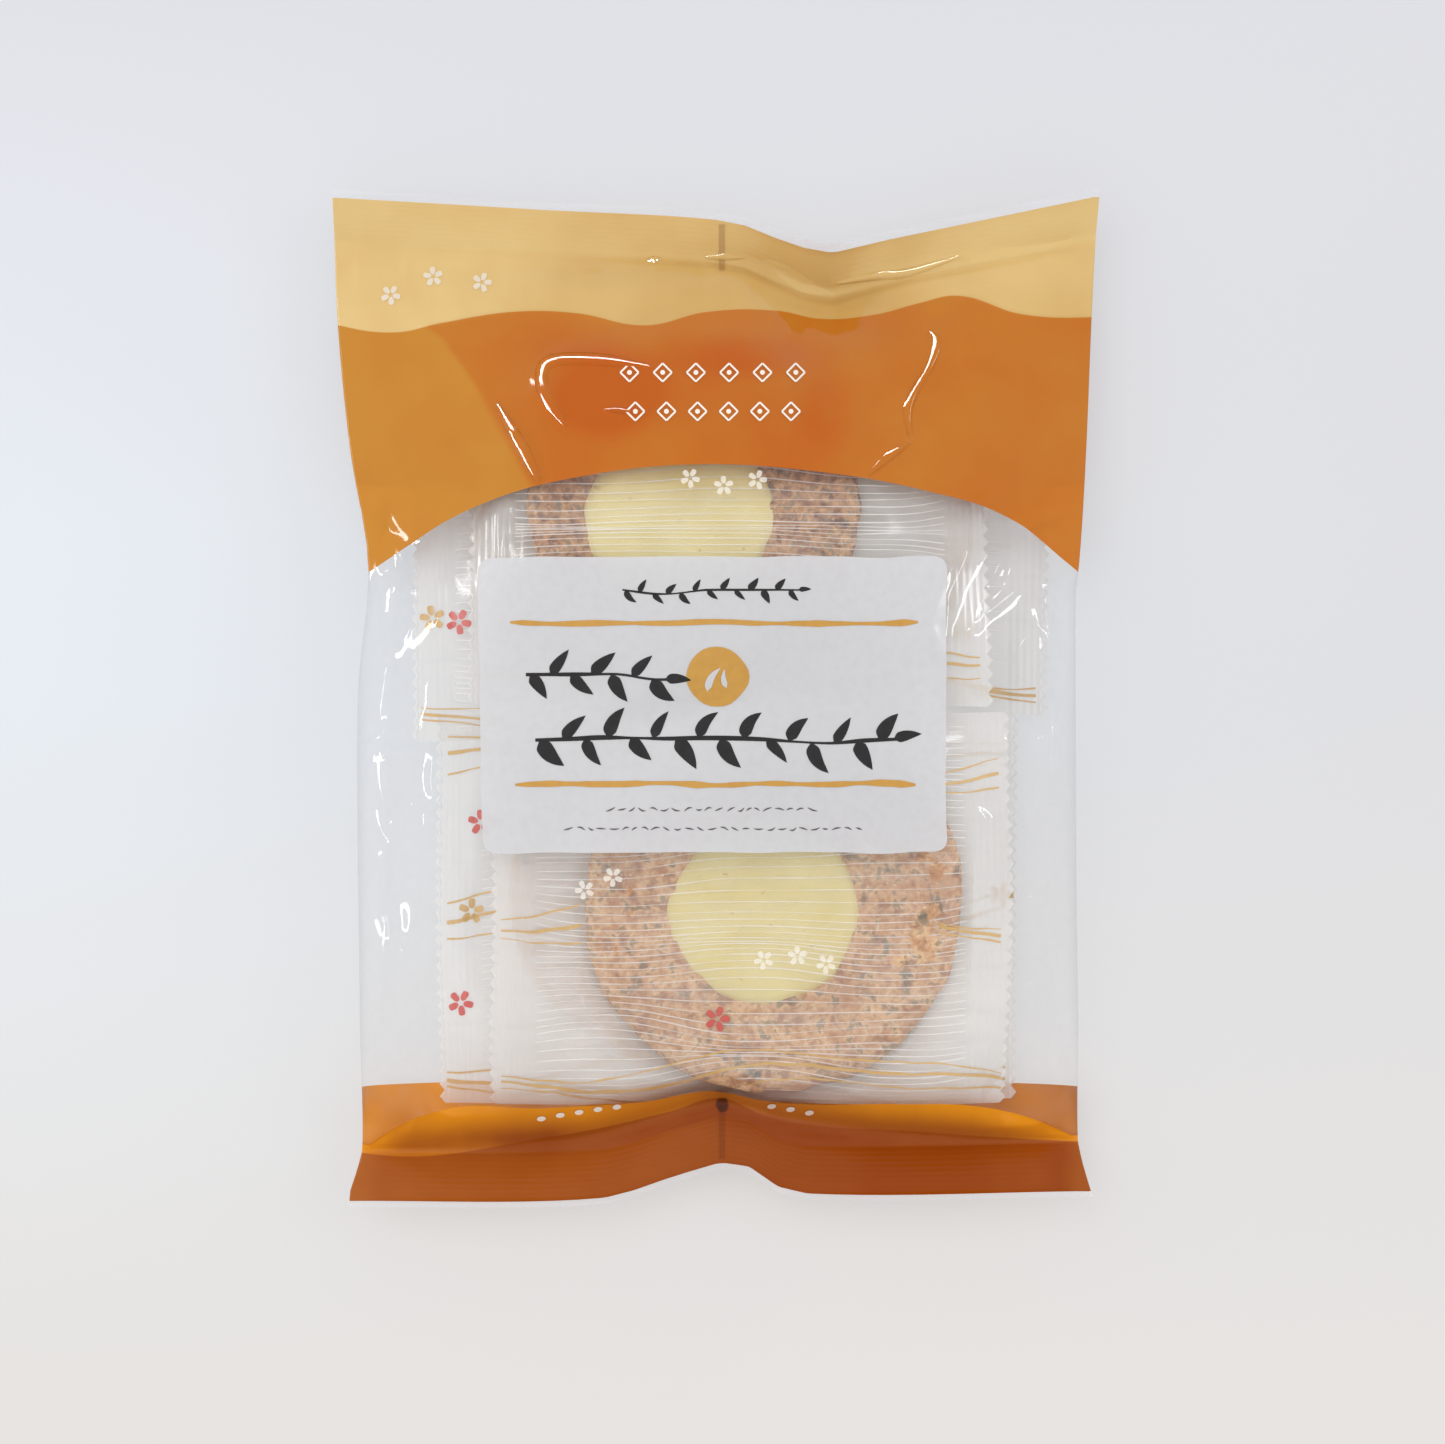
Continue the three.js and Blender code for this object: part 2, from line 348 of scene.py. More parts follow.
# The fold that parts the header's left ear from its middle, as points in mm on the face.
EAR_FOLD = [(-64.2, 75.3), (-54.3, 66.6), (-46.5, 61), (-41.2, 53.7), (-32.6, 38.1), (-29.8, 33)]
# Creases of the front film: points in mm on the bag's face, height and width in mm.
CREASES = [
    (EAR_FOLD, 0.35, 1.6),
    ([(-11, 56.2), (-18.9, 57.3), (-25.9, 57.5), (-28.8, 56.7), (-29.7, 54.5), (-27.4, 48.1),
      (-25.3, 46)], 0.7, 1.5),
    ([(-37.3, 50.1), (-34.3, 44.8), (-31.9, 40.4), (-29.9, 36)], 0.7, 1.4),
    ([(-21, 49.3), (-13.5, 48.6)], 0.4, 1.0),
    ([(36.4, 65.8), (35.3, 63.9), (37.3, 61), (36, 54.9), (32.9, 49.7)], 0.8, 1.5),
    ([(32.9, 49.7), (32.5, 46.2), (33.4, 44.1), (28.1, 40.6), (23.4, 35.9)], 0.7, 1.4),
    ([(31.4, 64.1), (30, 59), (29.7, 53.9), (27, 47)], -0.7, 2.6),
    ([(12.7, 61), (14.7, 62.4)], 0.6, 0.9),
    ([(20.3, 70.3), (32.5, 71.8), (42.5, 74.9)], 0.9, 1.3),
    ([(6.4, 75), (15.9, 69.7), (25.6, 68.3)], -0.4, 1.6),
    ([(47.5, 76.5), (64.7, 78.7)], -0.35, 1.2),
    ([(63, 77.7), (50, 72), (37.5, 66.5)], 0.15, 1.4),
    ([(-64.9, 77.4), (-49.9, 75.5), (-10.8, 74.3), (-1.8, 74.5)], 0.35, 0.8),
    ([(-59, 31), (-56, 28.5), (-52, 26)], -0.6, 1.2),
    ([(-57.5, 25), (-56, 28.5), (-55.5, 32)], -0.5, 1.2),
    ([(51.4, 29), (42.4, 11.2)], 0.85, 1.1),
    ([(42.4, 11.2), (52.5, 19.4)], 0.75, 1.0),
    ([(42.4, 31.3), (42.6, 23.9), (39.8, 17.2), (39, 9.9), (39.5, -3.7)], 0.5, 1.0),
    ([(59.9, 31.8), (52.2, 28.4), (55.1, 25.6)], 0.9, 1.1),
    ([(44.4, -29.6), (51.7, -36.7), (56.2, -31.6)], 0.6, 0.9),
    ([(46.1, -43.2), (53.9, -49.6), (55.9, -44.3)], 0.6, 0.9),
    ([(60.7, -35.8), (59.9, -39.2), (61.3, -41.2)], 0.5, 0.9),
    ([(60, 5), (56, -10), (57, -25)], 0.5, 1.2),
    ([(41, -16), (46, -22), (49, -30)], 0.5, 1.1),
    ([(-56.9, -16.2), (-55.5, -18.8)], 0.7, 0.9),
    ([(-60.1, -19.5), (-57, -21.9), (-55.2, -25.5), (-54.6, -28.6)], 0.6, 0.9),
    ([(-60.4, -9.7), (-54, -3.1)], 0.5, 0.9),
    ([(-58.2, -30.4), (-58.6, -38.9)], 0.5, 0.9),
    ([(-54.3, -65.6), (-49.7, -59.5)], 0.5, 1.0),
    ([(-57, 18), (-55.5, 8), (-57, -2)], 0.5, 1.1),
    ([(32, 12), (35, -4), (33, -16)], 0.4, 2.0),
    ([(20, -20), (31, -33), (30, -48)], 0.3, 1.6),
    ([(39.6, 22), (36.5, 12), (40, 4)], 0.9, 1.1),
    ([(48, -13), (53, -22), (50.5, -30)], 0.8, 1.0),
    ([(58, -4), (56.5, -14), (58.5, -24)], 0.6, 1.0),
    ([(43.5, -18), (48.5, -24)], 0.6, 0.9),
    ([(57, -46), (50, -53), (46, -62)], 0.7, 1.0),
    ([(-29.9, -70.4), (-26.5, -74.5), (-13.5, -71.3)], 0.4, 0.9),
    ([(3.5, -68.2), (8.7, -71.7), (20, -73)], 0.4, 0.9),
]

# The film's columns lie closer together towards the sides, where it curves most.
COLUMNS = 300
u = np.linspace(-1, 1, COLUMNS)
column_across = 0.4 * u + 0.6 * np.sin(u * np.pi / 2)

# Each column of the film meets the edges of the print at its own heights.
trial_across, trial_up = np.meshgrid(column_across, np.linspace(0, 1, 80))
trial_x, trial_y = outline_place(trial_across, trial_up)
shown_x, shown_y = seen_from_front(trial_x, trial_y, heights(trial_x, trial_y, True))
length = trial_y[-1] - trial_y[0]


def up_at(edge):
    """How far up each column the print's edge crosses it."""
    off = shown_y - curve_through(edge, shown_x)
    return np.array([np.interp(0, off[:, k], trial_up[:, k]) for k in range(COLUMNS)])


def rows_between(bounds, counts):
    """Rows of a sheet from each bound up to the next, with a count for each strip."""
    rows = [low + (high - low) * k / count
            for low, high, count in zip(bounds, bounds[1:], counts) for k in range(count)]
    return np.array(rows + [bounds[-1]])


LEAST_FOOTER = 1.2  # mm of footer above the fin where the two come closest
footer_up = np.maximum(up_at(FOOTER_EDGE), (FIN + LEAST_FOOTER) / length)
bounds_up = [np.zeros(COLUMNS), BOTTOM_MARGIN / length, FIN / length, footer_up,
             up_at(HEADER_EDGE), 1 - FIN / length, 1 - TOP_MARGIN / length, np.ones(COLUMNS)]
STRIP_ROWS = [2, 44, 24, 214, 84, 42, 3]
up = rows_between(bounds_up, STRIP_ROWS)
across = np.broadcast_to(column_across, up.shape)

film_x, film_y = outline_place(across, up)
front_height, back_height = heights(film_x, film_y, True), heights(film_x, film_y, False)
middle_height = (front_height + back_height) / 2
film_z = smoothed(front_height, 3.0)
from_side = (1 - np.abs(across)) * HALF_WIDTH
low_edge, high_edge = cut_edges(film_x)
from_bottom, from_top = film_y - low_edge, high_edge - film_y
from_end = np.minimum(from_bottom, from_top)


def in_seal(from_end):
    """1 in the fused seal and 0 past the soft bend that leads up out of it."""
    return step(FIN + 1.5, FIN - 0.5, from_end)


def seal_ribs(from_end, height):
    """The ribs that the sealing jaws press into the fused film."""
    return height * np.sin(from_end * 2 * np.pi / RIB_PITCH) * step(FIN, FIN - 0.5, from_end)


def by_seal(from_end):
    """1 where the film puckers most beside the seal, and near 0 within 10 mm of there."""
    return np.exp(-(((from_end - 13) / 5) ** 2))


film_z = film_z + in_seal(from_end) * (smoothed(middle_height, 3.0) + FUSED_HALF - film_z)
film_z[[0, -1]] = middle_height[[0, -1]]
film_z[:, [0, -1]] = middle_height[:, [0, -1]]

face_x, face_y = seen_from_front(film_x, film_y, film_z)
# As shares: where the film can crumple at all, where it is slack all round the middle of the
# face, and its two clear sides between header and footer.
loose = step(0, 5, from_side) * step(FIN, FIN + 4, from_end)
slack = step(0.6, 1.2, ((face_x - 1) / 50) ** 4 + ((face_y + 12) / 54) ** 4)
clear_side = step(41, 48, np.abs(face_x)) * step(30, 22, face_y)

folds = sum(crease(face_x, face_y, *one) for one in CREASES)
film_z = film_z + folds * step(0, 5, np.minimum(from_side, from_end))
crumple = ridges(face_x + 4 * noise(face_x, face_y, 15, 5), face_y, 13, 11)
crinkle = ridges(face_x + 2 * noise(face_x, face_y, 8, 6), face_y * 0.45, 3.4, 61, 2.4)
puckers = ridges(face_x, face_y * 0.35, 4.2, 23, 2.0)
# How high each is in mm: anywhere, with more where the film is slack and on the clear sides.
film_z = film_z + loose * (0.05 + 0.1 * slack + 0.45 * clear_side) * crumple**1.5
film_z = film_z + loose * (0.015 + 0.02 * slack + 0.2 * clear_side) * crinkle**1.5
film_z = film_z + loose * (0.1 * slack + 0.25 * clear_side) * noise(face_x, face_y, 9, 31)
film_z = film_z + loose * 0.35 * by_seal(from_end) * puckers**1.5
rib_height = np.where(film_y > 0, TOP_RIB, BOTTOM_RIB)
film_z = film_z + seal_ribs(from_end, rib_height) * step(0, 1, from_side)

film = np.stack([film_x, film_y, film_z], -1)

UV_SPAN = 200  # mm that a uv map spans, so that its values stay between 0 and 1


def face_uv(x, y):
    """Values of a uv map for places in mm on the bag's face."""
    return np.stack([x, y], -1) / UV_SPAN + 0.5


film_uv = face_uv(face_x, face_y)

# How deep the print's colour looks: deepest where the film is fused double, with painted shade where
# it lies on the contents, and painted light where only air is behind it, as in the header's two ears.
# Painted light lightens the ear left of the fold; painted shade deepens the print right of it and over the
# crackers.
fold_points = np.array([(-32, 24)] + EAR_FOLD[::-1])
fold_x = np.interp(face_y, fold_points[:, 1], fold_points[:, 0])
right_of_fold = step(-0.8, 0.8, face_x - fold_x)
over_crackers = step(40, 20, np.hypot(face_x + 4, (face_y - 34) * 1.15))
orange_depth = 0.08 + 0.45 * right_of_fold + 0.2 * over_crackers
# Patches of painted shade where it rests on a wrapper: place, half width and height in mm, and how much
# deeper.
SHADED_PATCHES = [(-18, 52, 11, 8, 0.5), (4, 58, 15, 4, 0.3), (19, 50, 6, 9, 0.2), (-26, 60, 10, 4, 0.15)]
for x, y, half_w, half_h, more in SHADED_PATCHES:
    away = np.hypot((face_x - x) / half_w, (face_y - y) / half_h)
    orange_depth = orange_depth + more * step(1.3, 0.3, away)
# The tan print deepens below the seal and in the middle: painted shade where the contents lie close behind
# it.
middle = step(-38, -14, face_x) * step(50, 26, face_x)
tan_depth = 0.04 + 0.2 * step(FIN - 1, FIN + 1, from_top) * step(-62, -20, face_x) + 0.24 * middle
in_tan = step(-0.5, 0.5, face_y - curve_through(TAN_EDGE, face_x))
header_depth = orange_depth * (1 - in_tan) + tan_depth * in_tan
# The footer is painted light along its upper edge and painted shade in the pinch over the bottom seal.
# It is deepest in the seal itself, where the film lies double, and darker towards the right, but painted
# light at the seal's two ends.
below_edge = curve_through(FOOTER_EDGE, face_x) - face_y
pinch_shade = step(26, 6, np.abs(face_x - 6))
footer_depth = 0.2 + (0.45 + 0.2 * step(-45, -25, face_x)) * step(0, 6, below_edge) + 0.3 * pinch_shade
ends = step(61.5, 57, np.abs(face_x - 1.1))  # 0 at the seal's two ends
in_fin = step(FIN + 0.3, FIN - 0.3, from_bottom)
fin_depth = (0.55 + 0.45 * step(-45, 45, face_x)) * (0.6 + 0.4 * ends)
footer_depth = footer_depth * (1 - in_fin) + fin_depth * in_fin
film_depth_and_shade = np.where(face_y > 0, header_depth, footer_depth)


def quads(rows, columns):
    """The four corners of each cell of a sheet of rows by columns points."""
    index = np.arange(rows * columns).reshape(rows, columns)
    corners = [index[:-1, :-1], index[:-1, 1:], index[1:, 1:], index[1:, :-1]]
    return np.stack(corners, -1).reshape(-1, 4).tolist()


def smooth_mesh(name, points, faces):
    """A mesh with a smooth skin, from points in mm."""
    mesh = bpy.data.meshes.new(name)
    mesh.from_pydata((points.reshape(-1, 3) / 1000).tolist(), [], faces)
    mesh.validate()
    mesh.shade_smooth()
    return mesh


def sheet_mesh(name, points, uv, uv_name="Face", depth=None):
    """A smooth sheet from a rows by columns array of points in mm, with its uv map.

    depth, where it is given, is how deep the print's colour looks, painted light and shade included,
    and is stored at each point for the material to read."""
    mesh = smooth_mesh(name, points, quads(*points.shape[:2]))
    corner_vertices = np.empty(len(mesh.loops), int)
    mesh.loops.foreach_get("vertex_index", corner_vertices)
    mesh.uv_layers.new(name=uv_name).data.foreach_set("uv", uv.reshape(-1, 2)[corner_vertices].ravel())
    if depth is not None:
        mesh.attributes.new("Depth", "FLOAT", "POINT").data.foreach_set("value", depth.ravel())
    return mesh


def show(name, mesh, material):
    """Puts a finished mesh in the scene as a piece of the object."""
    piece = bpy.data.objects.new(name, mesh)
    mesh.materials.append(material)
    scene.collection.objects.link(piece)
    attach(piece, "root")
    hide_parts("bag")
    return piece


def drift(m, place, scale, detail, low, high, least=0.0, most=1.0, twist=0.0):
    """A share that drifts from least to most over a surface, as noise goes from low to high."""
    cloud = add(m, "TexNoise", {"Vector": place, "Scale": scale, "Detail": detail, "Distortion": twist})
    return add(m, "MapRange", {"Value": cloud, "From Min": low, "From Max": high, "To Min": least,
                               "To Max": most})


def edge_mirror(m):
    """How much a glossy film mirrors: little head on and most where it is seen edge on."""
    edge_on = add(m, "LayerWeight", {"Blend": 0.5}, out="Facing")
    steep = add(m, "Math", (edge_on, 4.0), operation="POWER")
    return add(m, "Math", (steep, 0.7, 0.03), operation="MULTIPLY_ADD")


def hazy_film(m, haze_share, white, passed_on, mirror, roughness):
    """Clear film of which a share is haze, that scatters light back and passes some of it on,
    under a glossy face."""
    clear = add(m, "BsdfTransparent", {"Color": linear("#ffffff")})
    back = add(m, "BsdfDiffuse", {"Color": linear(white)})
    through = add(m, "BsdfTranslucent", {"Color": linear(white)})
    haze = add(m, "MixShader", (passed_on, back, through))
    gloss = add(m, "BsdfGlossy", {"Roughness": roughness})
    body = add(m, "MixShader", (haze_share, clear, haze))
    add(m, "OutputMaterial", (add(m, "MixShader", (mirror, body, gloss)),))
    return m


def clear_film():
    """Cast polypropylene, clear and glossy: it mirrors most where it is seen edge on, and
    a faint uneven haze scatters light both back and on through it."""
    m = new_material("clear_polypropylene_film")
    haze_share = drift(m, add(m, "TexCoord", out="Object"), 260, 2.0, 0.35, 0.75, 0.01, 0.06)
    return hazy_film(m, haze_share, "#fafafc", 0.5, edge_mirror(m), 0.06)


def printed_film(name, upper, lower, edge, cover, roughness, sheen):
    """Film printed on its inner side: ink under a glossy face, that hides most of what is behind.

    upper and lower are the colours over and under a wavy edge, each for film with light
    behind it and for film that lies double or on something dark. cover is how much of what
    is behind the ink hides."""
    m = new_material(name)
    depth = add(m, "Attribute", attribute_name="Depth", out="Fac")
    face = add(m, "UVMap", uv_map="Face")
    across = add(m, "SeparateXYZ", (face,), out="X")
    height = add(m, "SeparateXYZ", (face,), out="Y")
    wave = add(m, "FloatCurve", {"Value": across})
    mapping = wave.node.mapping
    while len(mapping.curves[0].points) < len(edge):
        mapping.curves[0].points.new(0.5, 0.5)
    for point, (x, y) in zip(mapping.curves[0].points, edge):
        point.location = face_uv(x, y)
    mapping.update()
    over = add(m, "Math", (height, wave), operation="SUBTRACT")
    soft = 0.08 / UV_SPAN  # the ink's edge fades out over 0.16 mm
    over = add(m, "MapRange", {"Value": over, "From Min": -soft, "From Max": soft})
    clouds = drift(m, face, 10, 3.0, 0.3, 0.7, -0.15, 0.15)
    depth = add(m, "Math", (depth, clouds), operation="ADD", use_clamp=True)
    tones = [add(m, "Mix", {0: depth, 6: linear(thin), 7: linear(thick)}, out=2, data_type="RGBA")
             for thin, thick in (lower, upper)]
    colour = add(m, "Mix", {0: over, 6: tones[0], 7: tones[1]}, out=2, data_type="RGBA")
    ink = add(m, "BsdfPrincipled", {"Base Color": colour, "Roughness": roughness,
                                    "Specular IOR Level": sheen})
    bare = add(m, "BsdfTransparent", {"Color": colour})
    add(m, "OutputMaterial", (add(m, "MixShader", (cover, bare, ink)),))
    return m


WELD_PITCH = 1.1  # mm between the sealing jaw's fine marks


def fused_seam():
    """Two layers of the film sealed together: still clear, but milkier than one, in fine bands."""
    m = new_material("fused_polypropylene_film")
    scale = 1000 / (WELD_PITCH * 2 * math.pi)
    weld = add(m, "TexWave", {"Vector": add(m, "TexCoord", out="Object"), "Scale": scale, "Detail": 0.0},
               out=1, bands_direction="Y")
    haze_share = add(m, "MapRange", {"Value": weld, "To Min": 0.12, "To Max": 0.28})
    return hazy_film(m, haze_share, "#f7f7f9", 0.5, 0.06, 0.12)


clear, fused_margin = clear_film(), fused_seam()
header_ink = printed_film("header_print", ("#e0c080", "#bc862e"), ("#c5852a", "#be5a00"), TAN_EDGE,
                          cover=0.88, roughness=0.08, sheen=0.35)
# The footer's colour turns darker along this line, from which the film lies fused double.
FIN_EDGE = [(-65, -75.5), (-60, -77.5), (-27, -74.6), (-7.4, -70.4), (0.8, -68.2), (9, -71.4), (36, -74),
            (62, -75.6)]
footer_ink = printed_film("footer_print", ("#f29c1c", "#8c3a26"), ("#b4682a", "#944208"), FIN_EDGE,
                          cover=0.95, roughness=0.2, sheen=0.18)


def strip_part(row_counts, first, last):
    """The rows of a sheet from one of its strips up to the foot of another."""
    starts = np.cumsum([0] + row_counts)
    return slice(starts[first], starts[last] + 1)


def show_strips(names, row_counts, points, uv, depth, margin, inside_out=False):
    """Cuts one side of the bag into its pieces, from the bottom up, and shows them."""
    pieces = [(0, 1, margin, "film"), (1, 3, footer_ink, "orange_print"), (3, 4, clear, "film"),
              (4, 6, header_ink, "orange_print"), (6, 7, margin, "film")]
    for name, (first, last, material, slot) in zip(names, pieces):
        part = strip_part(row_counts, first, last)
        mesh = sheet_mesh(name, points[part], uv[part], depth=depth[part])
        if inside_out:
            mesh.flip_normals()
        show(name, mesh, material)


FRONT_PIECES = ["bottom_margin", "footer", "front_film", "header", "top_margin"]
show_strips(FRONT_PIECES, STRIP_ROWS, film, film_uv, film_depth_and_shade, fused_margin)

# ---------------- back film
# The other side of the same tube, flat on the floor in its middle. The bands of print run
# right round, and the tube's edges lap and are fused in a band down the middle.

BACK_STRIP_ROWS = [2, 34, 20, 70, 44, 34, 2]
SEAM_LEFT, SEAM_RIGHT, SEAM_INSIDE = -3.4, 5.6, 0.12  # mm
FLOOR_GAP = 0.02  # mm at least under the film


def back_sheet(back_across, inside):
    """Rows of points up the back film, moved in by inside mm, and their uv map."""
    x = back_across * HALF_WIDTH
    low, high = cut_edges(x)
    meet = [low, low + BOTTOM_MARGIN, low + FIN, BACK_FOOTER_TOP, BACK_HEADER_BOTTOM, high - FIN,
            high - TOP_MARGIN, high]
    up = rows_between([(y - low) / (high - low) for y in meet], BACK_STRIP_ROWS)
    x, y = outline_place(np.broadcast_to(back_across, up.shape), up)
    front, under = heights(x, y, True), heights(x, y, False)
    low, high = cut_edges(x)
    from_end = np.minimum(y - low, high - y)
    wrinkle = 0.12 * ridges(x, y, 11, 71) ** 1.5
    pucker = 0.3 * by_seal(from_end) * ridges(x, y * 0.35, 4.2, 73, 2.0)
    z = smoothed(under, 1.0) + (wrinkle + pucker) * step(FIN, FIN + 4, from_end)
    between = (front + under) / 2
    z = z + in_seal(from_end) * (smoothed(between, 1.0) - FUSED_HALF - z) + seal_ribs(from_end, BOTTOM_RIB)
    z = np.maximum(z, FLOOR_GAP) + inside
    z[[0, -1]] = between[[0, -1]]
    for edge in (0, -1):
        if abs(back_across[edge]) == 1:
            z[:, edge] = between[:, edge]
    return np.stack([x, y, z], -1), face_uv(x, y)


BACK_PIECES = ["back_bottom_margin", "back_footer", "back_film", "back_header", "back_top_margin"]
back_points, back_uv = back_sheet(np.sin(np.linspace(-1, 1, 100) * np.pi / 2), 0.0)
# Its print looks light, and deeper only towards the right of the footer.
back_depth = np.where(back_points[..., 1] > 0, 0.15, 0.1 + 0.4 * step(20, 50, back_points[..., 0]))
show_strips(BACK_PIECES, BACK_STRIP_ROWS, back_points, back_uv, back_depth, clear, inside_out=True)

seam_points, seam_uv = back_sheet(np.linspace(SEAM_LEFT, SEAM_RIGHT, 9) / HALF_WIDTH, SEAM_INSIDE)
part = strip_part(BACK_STRIP_ROWS, 3, 4)
show("back_seam", sheet_mesh("back_seam", seam_points[part], seam_uv[part]), fused_margin)

# ---------------- label and printed marks
# A white panel printed on the front film, with brush-drawn lines, leafy twigs and dashes in
# black and ochre, and small white blossoms here and there. All of it is flat ink.


def felt_sheet(points):
    """The faces of a sheet of points in mm, for rays to find. In metres."""
    return BVHTree.FromPolygons((points.reshape(-1, 3) / 1000).tolist(), quads(*points.shape[:2]))


front_tree = felt_sheet(film)


def laid_on(tree, x, y, lift):
    """Points of a surface, in mm, that show at x, y of the bag's face, lifted off it."""
    eye = Vector(EYE) / 1000
    points = []
    for px, py in zip(np.ravel(x), np.ravel(y)):
        target = Vector((px, py, SEAL_HEIGHT)) / 1000
        place, normal, _, _ = tree.ray_cast(eye, (target - eye).normalized())
        if place is None:
            place, normal, _, _ = tree.find_nearest(target)
        points.append(place * 1000 + normal * (lift if normal.z > 0 else -lift))
    return np.array(points).reshape(*np.shape(x), 3)


LABEL_LIFT, INK_LIFT = 0.07, 0.14  # mm off the film
LABEL_LEFT, LABEL_RIGHT, LABEL_BOTTOM, LABEL_TOP = -39.6, 39.2, -26.5, 23.8  # mm
LABEL_CORNER, LABEL_WAVE = 2.2, 0.22  # mm, its corners' radius and how far its edges waver
LABEL_LEAN = 0.017  # how far it leans in on the left for each mm down


def label_points():
    """The label's sheet: a panel with round corners and a slightly wavy edge."""
    s, t = np.meshgrid(np.linspace(-1, 1, 158), np.linspace(-1, 1, 110))
    half_w, half_h = (LABEL_RIGHT - LABEL_LEFT) / 2, (LABEL_TOP - LABEL_BOTTOM) / 2
    y = half_h * (0.25 * np.sin(t * np.pi / 2) + 0.75 * t)
    into = np.maximum(np.abs(y) - (half_h - LABEL_CORNER), 0)
    x = s * (half_w - LABEL_CORNER + np.sqrt(np.maximum(LABEL_CORNER**2 - into**2, 0)))
    x = x + s**8 * LABEL_WAVE * noise(y, 3, 6, 41) + (LABEL_LEFT + LABEL_RIGHT) / 2
    y = y + (y / half_h) ** 8 * LABEL_WAVE * noise(x, 0, 7, 42) + (LABEL_BOTTOM + LABEL_TOP) / 2
    return x - LABEL_LEAN * (y - LABEL_BOTTOM) * (1 - s) / 2, y


def flecked(m, place, colour, flecks):
    """A colour with soft flecks over it. Each row of flecks holds its noise's scale, detail and
    twist, the values where the fleck begins and is full, how strong it is, and its colour."""
    for scale, detail, twist, low, high, strength, fleck in flecks:
        spots = drift(m, place, scale, detail, low, high, most=strength, twist=twist)
        colour = add(m, "Mix", {0: spots, 6: colour, 7: linear(fleck)}, out=2, data_type="RGBA")
    return colour


def ink(name, colour, mottle, cover, roughness=0.3):
    """Flexographic ink on film: an even coat with faint pinholes, which hides what is behind by
    the share that cover gives."""
    m = new_material(name)
    place = add(m, "TexCoord", out="Object")
    tone = flecked(m, place, linear(colour), [(700, 2.0, 0.0, 0.4, 0.8, 0.6, mottle)])
    coat = add(m, "BsdfPrincipled", {"Base Color": tone, "Roughness": roughness, "IOR": 1.5})
    bare = add(m, "BsdfTransparent", {"Color": linear("#fafafa")})
    add(m, "OutputMaterial", (add(m, "MixShader", (cover, bare, coat)),))
    return m


def stroke(points, half_widths, steps=24):
    """A brush stroke through points, with a half width at each: corners and faces on the face."""
    points, half_widths = np.array(points, float), np.array(half_widths, float)
    knots = np.linspace(0, 1, len(points))
    t = np.linspace(0, 1, steps)
    x = curve_through(np.stack([knots, points[:, 0]], -1), t)
    y = curve_through(np.stack([knots, points[:, 1]], -1), t)
    half = np.maximum(curve_through(np.stack([knots, half_widths], -1), t), 0.01)
    slope = np.stack([np.gradient(x), np.gradient(y)])
    slope /= np.hypot(*slope)
    side_x, side_y = -slope[1] * half, slope[0] * half
    grid = np.stack([np.stack([x + k * side_x, y + k * side_y], -1) for k in (-1, 0, 1)], 1)
    return grid.reshape(-1, 2), quads(steps, 3)


def turned(x, y, along, aside, degrees):
    """Points that lie so far along a direction from x, y and to the left of it."""
    c, s = math.cos(math.radians(degrees)), math.sin(math.radians(degrees))
    return np.stack([x + along * c - aside * s, y + along * s + aside * c], -1)


def leaf(x, y, angle, size, width, bend=0.12):
    """One brush dab: blunt where the brush lands and drawn out to a point, slightly bent."""
    t = np.linspace(0, 1, 7)
    points = turned(x, y, t * size, bend * size * np.sin(t * np.pi), angle)
    return stroke(points, width * np.sin(np.pi * t**0.62) ** 0.8, 18)


def ring_quads(index):
    """The four corners of each cell between closed rings, from the rings' rows of indices."""
    after = np.roll(index, -1, 1)
    return np.stack([index[:-1], index[1:], after[1:], after[:-1]], -1).reshape(-1, 4).tolist()


def oval(x, y, half_w, half_h, turn=0.0, wobble=0.0, seed=0):
    """A filled oval with a rim that wobbles, turned by turn degrees."""
    spokes = 28
    a = np.linspace(0, 2 * np.pi, spokes, endpoint=False)
    shape = 1 + wobble * noise(np.cos(a) * 9, np.sin(a) * 9, 6, seed)
    loops = [turned(x, y, half_w * share * shape * np.cos(a), half_h * share * shape * np.sin(a), turn)
             for share in (0.0, 0.5, 1.0)]
    return np.concatenate(loops), ring_quads(np.arange(3 * spokes).reshape(3, spokes))


def print_shapes(name, shapes, material, tree=front_tree, lift=INK_LIFT):
    """Joins flat shapes, lays them on a surface and shows them as one piece."""
    corners, faces, count = [], [], 0
    for points, shape_faces in shapes:
        corners.append(points)
        faces += [tuple(count + k for k in face) for face in shape_faces]
        count += len(points)
    corners = np.concatenate(corners)
    points = laid_on(tree, corners[:, 0], corners[:, 1], lift)
    show(name, smooth_mesh(name, points, faces), material)


white_ink = ink("white_label_ink", "#cbcaca", "#c4c2c2", 0.91)
label_x, label_y = label_points()
label_sheet = laid_on(front_tree, label_x, label_y, LABEL_LIFT)
show("label", sheet_mesh("label", label_sheet, face_uv(label_x, label_y)), white_ink)


def drawn_line(left, right, y, half_width, seed):
    """A level line drawn with a loaded brush: its width and height wander a little."""
    x = np.linspace(left, right, 34)
    wander = 0.22 * noise(x, 0, 9, seed)
    width = half_width * (1 + 0.35 * noise(x, 0, 3.5, seed + 1))
    width[0] = width[-1] = half_width * 0.4
    return stroke(np.stack([x, y + wander], -1), width, 150)


ochre_ink = ink("ochre_ink", "#c4923f", "#b78437", 0.96)
ochre_shapes = [drawn_line(-34.9, 34.4, 12.6, 0.42, 51), drawn_line(-34.0, 34.0, -14.8, 0.45, 53),
                oval(0.25, 3.4, 5.3, 5.3, wobble=0.07, seed=7)]
print_shapes("label_ochre", ochre_shapes, ochre_ink)

# Leafy twigs fill the places where a pack's name would stand.
black_ink = ink("black_ink", "#14110f", "#262120", 0.98, 0.2)
draw = np.random.default_rng(8)
